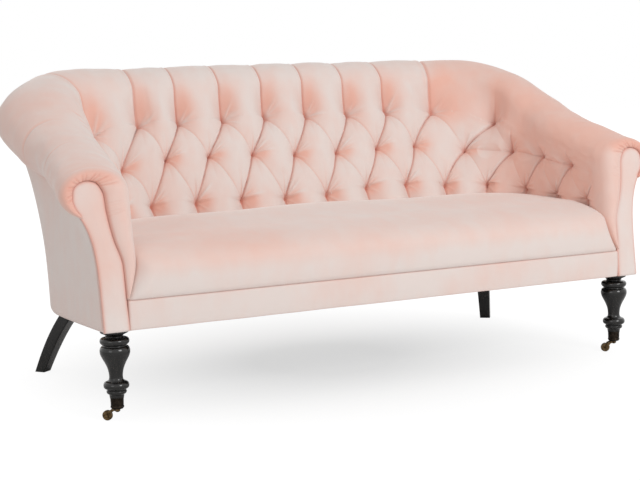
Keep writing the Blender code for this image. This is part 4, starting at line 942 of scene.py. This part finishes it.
# Seat and border sizes
BORDER_BACK_Y, BORDER_PROUD = -0.398, 0.0025
SEAT_FRONT_Y = -0.429
SEAT_EDGE_Z = 0.436
SEAT_CROWN = 0.024
SEAT_BOTTOM_Z = 0.29 + 2 * GAP + 2 * 0.0019 + 0.003 + GAP
SEAT_PRESS = 0.003
SEAT_EDGE_Y = SEAT_FRONT_Y + 0.149
SEAT_MID_Y = (SEAT_EDGE_Y + CORNER_Y + BACK_LOW) / 2
SEAT_SPREAD_X = 0.45


def seat_inset(z):
    """How far the seat's front stands back at height z: a large round edge above, a small one below."""
    up = np.clip((z - 0.363) / 0.0755, 0, 1)
    low = np.clip(1 - (z - SEAT_BOTTOM_Z) / 0.016, 0, 1)
    tuck = 0.004 * max(0.335 - z, 0) / 0.037
    return 0.2 * (1 - math.sqrt(1 - up**2)) + 0.0095 * (1 - math.sqrt(1 - low**2)) + tuck


def seat_line(z, n_side=400, n_front=320):
    """Closed outline of the seat at height z: along the padding, then round the corners of its front."""
    y1 = SEAT_FRONT_Y + seat_inset(z)
    corner = max(0.016 + 0.02 * (z - 0.36) / 0.07, 0.006)
    last = C_END
    for _ in range(5):
        lean_y = (z - BASE_Z) * FRONT_LEAN * float(ease(last, C_ARM, ARM_COLUMNS))
        last = min(C_ARM + (CORNER_Y + lean_y - y1 - corner) / ARM_PITCH, C_END)
    c = np.linspace(-last, last, n_side)
    st = station(c)
    foot_z = blend(PAD_FOOT_Z, FRONT_FOOT_Z, st.front)
    row_z = LOW_Z + st.rows[1] * np.sin(st.lean)
    r = st.low + (z - LOW_Z) / np.tan(st.lean) + SEAT_PRESS + pad_taper(c, (z - foot_z) / (row_z - foot_z))
    side = place(c, r, np.full(c.shape, z))
    x1, y0 = side[-1, 0], side[-1, 1]
    t = np.linspace(1, -1, n_front + 2)[1:-1]
    t = np.sin(t * np.pi / 2)
    x = x1 * t
    out = np.clip((np.abs(x) - (x1 - (y0 - y1))) / (y0 - y1), 0, 1)
    y = y1 + (y0 - y1) * (1 - np.sqrt(1 - out**2))
    front = np.stack([x, y, np.full(t.shape, z)], 1)
    return join([side, front])


def seat():
    """Crowned seat: rings up its sides, a large round front edge and a domed top."""
    heights = (0.0, 0.01, 0.03, 0.06, 0.1, 0.15, 0.22, 0.3, 0.38, 0.46, 0.54, 0.62, 0.69, 0.76, 0.82,
               0.875, 0.92, 0.96, 0.985, 1.0)
    rings = [seat_line(SEAT_BOTTOM_Z + (SEAT_EDGE_Z - SEAT_BOTTOM_Z) * h) for h in heights]
    edge = rings[-1]
    px = np.clip(edge[:, 0], -SEAT_SPREAD_X, SEAT_SPREAD_X)
    half_x = np.abs(edge[:, 0]).max()
    half_y = SEAT_MID_Y - SEAT_EDGE_Y
    slope = 0.0995 * half_y / SEAT_CROWN
    for f in (0.99, 0.975, 0.955, 0.93, 0.9, 0.86, 0.81, 0.75, 0.68, 0.6, 0.51, 0.42, 0.32, 0.22, 0.11, 0):
        x = px + (edge[:, 0] - px) * f
        y = SEAT_MID_Y + (edge[:, 1] - SEAT_MID_Y) * f
        s = np.clip((y - SEAT_EDGE_Y) / half_y, 0, 1)
        rise = np.where(y < SEAT_MID_Y, slope * (s**3 - 2 * s**2 + s) + 3 * s**2 - 2 * s**3,
                        1 - ((y - SEAT_MID_Y) / half_y) ** 2)
        z = SEAT_EDGE_Z + SEAT_CROWN * np.clip(rise, 0, 1) * (1 - np.abs(x / half_x) ** 4)
        rings.append(np.stack([x, y, z], 1))
    grid = np.stack(rings)
    x, y, z = grid[..., 0], grid[..., 1], grid[..., 2]
    top = ease(z, 0.4, 0.03)
    z += top * 0.0014 * waves(x * 9, y * 9, 41, 10, 0.5, 1.6)
    z -= top * 0.003 * bell(np.abs(x) - 0.3, 0.16) * bell(y + 0.04, 0.1)
    nu, nv = grid.shape[:2]
    faces = grid_faces(nu, nv, wrap_v=True)
    bottom_mid = grid[0].mean(0)
    points = join([grid.reshape(-1, 3), bottom_mid[None]])
    j = np.arange(nv)
    under = np.stack([np.full(nv, nu * nv), (j + 1) % nv, j], 1)
    # Painted shade along the seat's bottom seam
    fold_shade = 0.4 * np.clip(1 - (z - SEAT_BOTTOM_Z) / 0.004, 0, 1)
    # Painted sheen and shade: paler low on the front and on the crown, painted shade at the left front corner
    low = 1 - ease(z, 0.335, 0.045)
    crown_sheen = ease(z, 0.425, 0.02)
    corner_shade = 0.34 * bell(x + 0.42, 0.2) * bell(z - 0.4, 0.035)
    sheen_shade_mix = 0.68 + 0.26 * low + 0.04 * crown_sheen - corner_shade + 0.04 * waves(x * 7, z * 30, 45, 8, 0.6, 1.8)
    sheen_and_shade = join([sheen_shade_mix.ravel(), [0]])
    obj = piece("seat_padding", points, [faces, under], VELVET,
                fold_shade=join([fold_shade.ravel(), [0]]), sheen_and_shade=sheen_and_shade, weld=1e-5)
    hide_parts("seat_cushion")


def border():
    """Front border below the seat: a soft-edged band, gently convex, with light drag lines."""
    x1 = CORNER_X + FACING_FOOT - GAP
    nu, nv = 420, 60
    x = np.linspace(-x1, x1, nu)[:, None]
    across, above = squared(np.linspace(0, 2 * np.pi, nv, endpoint=False)[None, :])
    mid_y = (FRONT_Y - BORDER_PROUD + BORDER_BACK_Y) / 2
    y = mid_y + (BORDER_BACK_Y - FRONT_Y + BORDER_PROUD) / 2 * across
    z = (BASE_Z + SEAM_Z) / 2 + (SEAM_Z - BASE_Z) / 2 * above
    to_end = x1 - np.abs(x)
    up = (z - BASE_Z) / (SEAM_Z - BASE_Z)
    convex = 0.0022 * (1 - (2 * up - 1) ** 2)
    drag = 0.0006 * waves(x * 30, z * 20, 53, 8, 0.5, 1.6)
    y = y + np.where(y < mid_y, drag - convex + 0.0016 * (1 - ease(to_end / 0.004)), 0)
    # Painted shade along the top and bottom edges and at the ends; the pile kept near its pale, painted-sheen
    # end
    fold_shade = (0.35 * ease(up, 0.95, 0.05) + 0.3 * (1 - ease(up / 0.05))
            + 0.5 * bell(to_end + 0 * up, 0.003) + 0 * x)
    sheen_and_shade = 0.92 + 0.06 * waves(x * 12, up * 2, 55, 6, 0.6, 1.8)
    obj = piece("front_band", xyz(x, y, z), [grid_faces(nu, nv, wrap_v=True), *end_faces(nu, nv)], VELVET,
                fold_shade=fold_shade, sheen_and_shade=sheen_and_shade, weld=1e-6)
    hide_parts("front_border")


def turned(name, profile, where, mat, sides=64, steps=6):
    """Solid of revolution: a smooth line through (radius, height), sharp where a point is doubled."""
    profile = np.array(profile, dtype=float)
    dense = []
    n = len(profile)
    for i in range(n - 1):
        p0, p1, p2, p3 = (profile[max(i - 1, 0)], profile[i], profile[i + 1], profile[min(i + 2, n - 1)])
        if np.allclose(p0, p1):
            p0 = p1 * 2 - p2
        if np.allclose(p2, p3):
            p3 = p2 * 2 - p1
        t = np.linspace(0, 1, steps, endpoint=False)[:, None]
        if np.allclose(p1, p2):
            continue
        m1, m2 = (p2 - p0) / 2, (p3 - p1) / 2
        cap = np.abs(p2 - p1) * 1.5
        m1, m2 = np.clip(m1, -cap, cap), np.clip(m2, -cap, cap)
        start, leave, end, arrive = hermite(t)
        dense.append(start * p1 + leave * m1 + end * p2 + arrive * m2)
    dense.append(profile[-1:])
    line = join(dense)
    line = join([[[0, line[0, 1]]], line, [[0, line[-1, 1]]]])
    line[:, 0] = np.maximum(line[:, 0], 0)
    a = np.linspace(0, 2 * np.pi, sides, endpoint=False)[:, None]
    r, z = line[None, :, 0], line[None, :, 1]
    points = xyz(r * np.cos(a), r * np.sin(a), z) + np.array(where)
    obj = piece(name, points, [grid_faces(sides, line.shape[0], wrap_u=True)], mat, weld=2e-6)
    obj.data.set_sharp_from_angle(angle=math.radians(38))
    return obj


LEG_X, LEG_Y, LEG_R = 0.749035, -0.369, 0.0366
CUP_TOP_Z, CUP_BOTTOM_Z, CUP_R, CUP_WALL, CUP_FLOOR = 0.058, 0.03, 0.0167, 0.0022, 0.004
TURNING = (
    (0.93, 1.0), (0.93, 1.0), (0.935, 0.985), (0.93, 0.966), (0.88, 0.958), (0.76, 0.948),
    (0.64, 0.936), (0.58, 0.924), (0.565, 0.913), (0.6, 0.904), (0.6, 0.904), (0.76, 0.9),
    (0.9, 0.889), (0.965, 0.87), (0.975, 0.852), (0.945, 0.832), (0.87, 0.816), (0.8, 0.808),
    (0.8, 0.808), (0.79, 0.8), (0.8, 0.795), (0.8, 0.795), (0.9, 0.784), (0.965, 0.766),
    (1.0, 0.74), (0.998, 0.715), (0.965, 0.688), (0.9, 0.657), (0.8, 0.62), (0.69, 0.582),
    (0.59, 0.54), (0.51, 0.495), (0.465, 0.45), (0.45, 0.41), (0.462, 0.384), (0.5, 0.368),
    (0.54, 0.36), (0.54, 0.36), (0.56, 0.354), (0.7, 0.345), (0.8, 0.33), (0.845, 0.305),
    (0.835, 0.28), (0.77, 0.263), (0.68, 0.255), (0.68, 0.255), (0.61, 0.248), (0.61, 0.24),
    (0.61, 0.24), (0.655, 0.232), (0.665, 0.218), (0.64, 0.203), (0.56, 0.19), (0.5, 0.184))
REAR_TURN = math.radians(38.3)
REAR_FOOT = np.array([0.745, 0.293])
REAR_WIDTHS = 0.046, 0.032
REAR_BOW = (0, 0.29, 0.52, 0.7, 0.87, 1.0)
REAR_RINGS, REAR_SIDES = 40, 48


def front_leg(sign, side):
    """Turned leg: capital, ring, vase, lower ring and a tapered foot that stands in the cup."""
    span = BASE_Z - GAP - CUP_BOTTOM_Z
    profile = [(LEG_R * r, CUP_BOTTOM_Z + span * h) for r, h in TURNING]
    tip_r = CUP_R - CUP_WALL - GAP
    shoulder = CUP_TOP_Z + 2 * GAP
    profile += [(CUP_R * 1.05, shoulder + 0.002), (CUP_R * 1.03, shoulder), (CUP_R * 1.03, shoulder),
                (tip_r, shoulder), (tip_r, shoulder), (tip_r, CUP_BOTTOM_Z + CUP_FLOOR + GAP),
                (tip_r, CUP_BOTTOM_Z + CUP_FLOOR + GAP)]
    obj = turned(f"turned_leg_{side}", profile, (sign * LEG_X, LEG_Y, 0), EBONY)
    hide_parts(f"front_leg_{side}")


def rear_leg(sign, side):
    """Square leg, raked and bowed outward, with small rounded arrises."""
    top_r = float(cover_r(4.32, BASE_Z)) - COVER - 0.021
    top = np.array([CORNER_X + top_r * math.sin(REAR_TURN), CORNER_Y + top_r * math.cos(REAR_TURN)])
    turn = math.atan2(*(REAR_FOOT - top))
    down = np.linspace(0, 1, REAR_RINGS)
    out = np.polyval(np.polyfit(down, np.interp(down, (0, 0.2, 0.4, 0.6, 0.8, 1.0), REAR_BOW), 3), down)
    out = (out - out[0]) / (out[-1] - out[0])
    width = blend(*REAR_WIDTHS, down)[:, None]
    bx, by = (s * width / 2 for s in squared(np.linspace(0, 2 * np.pi, REAR_SIDES, endpoint=False)[None, :]))
    mid = top[None, :] + (REAR_FOOT - top)[None, :] * out[:, None]
    x = mid[:, :1] + bx * math.cos(turn) + by * math.sin(turn)
    y = mid[:, 1:] - bx * math.sin(turn) + by * math.cos(turn)
    z = (BASE_Z - GAP) * (1 - down)[:, None]
    faces = [grid_faces(REAR_RINGS, REAR_SIDES, wrap_v=True), *end_faces(REAR_RINGS, REAR_SIDES)]
    obj = piece(f"raked_leg_{side}", xyz(sign * x, y, z), faces, EBONY, weld=1e-6)
    obj.data.set_sharp_from_angle(angle=math.radians(60))
    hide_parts(f"rear_leg_{side}")


def cup(sign, side):
    """Metal cup with a rolled lip and a bead, on its pivot pin with a round head."""
    r, pin, head_r, head_z = CUP_R, 0.003, 0.0052, 0.024
    inner, lip, foot = r - CUP_WALL, CUP_TOP_Z, CUP_BOTTOM_Z
    profile = [(inner, foot + CUP_FLOOR), (inner, foot + CUP_FLOOR), (inner, lip - 0.0008),
               (inner + 0.0006, lip), (r - 0.0004, lip), (r + 0.0002, lip - 0.0012),
               (r - 0.0004, lip - 0.0028), (r - 0.0006, lip - 0.005), (r - 0.001, foot + 0.008),
               (r - 0.0002, foot + 0.0062),
               (r - 0.0002, foot + 0.0044), (r - 0.0012, foot + 0.0028), (r * 0.82, foot + 0.0006),
               (r * 0.66, foot), (r * 0.66, foot), (pin, foot), (pin, foot), (pin, head_z), (pin, head_z),
               (head_r * 0.9, head_z), (head_r, head_z - 0.0007), (head_r * 0.8, head_z - 0.0018),
               (head_r * 0.4, head_z - 0.0024)]
    obj = turned(f"brass_cup_{side}", profile, (sign * LEG_X, LEG_Y, 0), BRONZE)
    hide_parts(f"caster_cup_{side}")


def carried_over():
    """Node materials for the hidden frame, springs, deck, dust cover and the caster metal that stays."""
    timber = ("seat_rail corner_rail spring_rail crest_core corner_core arm_core back_rib corner_rib arm_rib "
              "corner_block")
    for mat, starts in ((ash_frame(), timber), (spring_steel(), "seat_spring front_plate rear_plate"),
                        (felt_deck(), "seat_deck"), (black_cloth(), "dust_cover"), (BRASS, "caster_")):
        for node in frame["nodes"]:
            obj = bpy.data.objects.get(node)
            if obj is not None and node.startswith(tuple(starts.split())):
                for s in obj.material_slots:
                    s.material = mat


padding()
for sign, side in SIDES:
    facing(sign, side)
    outside(f"outer_arm_{side}", f"outside_arm_{side}", sign * (SPLIT + GAP / TUFT_PITCH),
            sign * (C_END - GAP / ARM_PITCH), 60 + sign)
    front_leg(sign, side)
    rear_leg(sign, side)
    cup(sign, side)
outside("outer_back", "outside_back", -SPLIT + GAP / TUFT_PITCH, SPLIT - GAP / TUFT_PITCH, 70)
seat()
border()
carried_over()


# Stage, light and camera
def floor():
    """Pale floor: white where open, with a soft grey shadow under the settee."""
    mesh = bpy.data.meshes.new("floor")
    s = 14.0
    mesh.from_pydata([(-s, -s, 0), (s, -s, 0), (s, s, 0), (-s, s, 0)], [], [(0, 1, 2, 3)])
    mat = bpy.data.materials.new("pale floor")
    mat.use_nodes = True
    tree = mat.node_tree
    tree.nodes.clear()
    lit = add_node(tree, "BsdfDiffuse", [("Color", (0.86, 0.86, 0.86, 1))])
    glow = add_node(tree, "Emission", [("Strength", 1.08)])
    seen = add_node(tree, "LightPath", out="Is Camera Ray")
    where = add_node(tree, "TexCoord", out="Object")
    away = add_node(tree, "VectorMath", [(0, where)], out="Value", operation="LENGTH")
    open_floor = add_node(tree, "MapRange", [("Value", away), ("From Min", 0.2), ("From Max", 1.1),
                                                       ("To Min", 0.55), ("To Max", 1.0)])
    share = add_node(tree, "Math", [(0, seen), (1, open_floor)], operation="MULTIPLY")
    both = add_node(tree, "MixShader", [(0, share), (1, lit), (2, glow)])
    add_node(tree, "OutputMaterial", [(0, both)])
    mesh.materials.append(mat)
    obj = add_object("floor", mesh)


def world():
    """White to the camera and in reflections, a plain soft fill for everything else."""
    w = bpy.data.worlds.new("studio")
    bpy.context.scene.world = w
    w.use_nodes = True
    tree = w.node_tree
    back = tree.nodes["Background"]
    back.inputs["Color"].default_value = (1, 1, 1, 1)
    rays = tree.nodes.new("ShaderNodeLightPath").outputs
    white = rays["Is Camera Ray"]
    for kind in ("Is Glossy Ray", "Is Transmission Ray"):
        white = add_node(tree, "Math", [(0, white), (1, rays[kind])], operation="MAXIMUM")
    level = add_node(tree, "MapRange", [("Value", white), ("To Min", FILL), ("To Max", 1.0)])
    tree.links.new(level, back.inputs["Strength"])


def lamp(name, at, size, power):
    """Square soft box at a place, turned to the settee."""
    data = bpy.data.lights.new(name, "AREA")
    data.shape = "RECTANGLE"
    data.size = data.size_y = size
    data.energy = power
    obj = add_object(name, data)
    obj.location = at
    obj.rotation_euler = (AIM - Vector(at)).to_track_quat("-Z", "Y").to_euler()


def camera():
    """The photograph's view: 4 m off the left front, level with the top of the back, slightly rolled."""
    yaw, pitch, roll = math.radians(26.71), math.radians(7.13), math.radians(1.44)
    fw = Vector((math.sin(yaw) * math.cos(pitch), math.cos(yaw) * math.cos(pitch), -math.sin(pitch)))
    right = Vector((math.cos(yaw), -math.sin(yaw), 0))
    down = fw.cross(right)
    x_axis = math.cos(roll) * right + math.sin(roll) * down
    y_axis = math.sin(roll) * right - math.cos(roll) * down
    turn = Matrix((x_axis, y_axis, -fw)).transposed().to_4x4()
    data = bpy.data.cameras.new("camera")
    data.sensor_fit, data.sensor_width, data.lens = "HORIZONTAL", 36.0, 80.27
    obj = add_object("camera", data)
    obj.matrix_world = Matrix.Translation((-1.818, -3.604, 0.849)) @ turn
    bpy.context.scene.camera = obj


FILL = 0.55
AIM = Vector((0, 0, 0.45))
floor()
world()
lamp("key", (1.4, -4.9, 2.7), 2.0, 104)
lamp("left", (-4.4, -3.0, 1.7), 2.0, 17)
lamp("top", (0, 0.2, 4.2), 3.5, 12)
camera()
bpy.context.scene.view_settings.view_transform = "Standard"
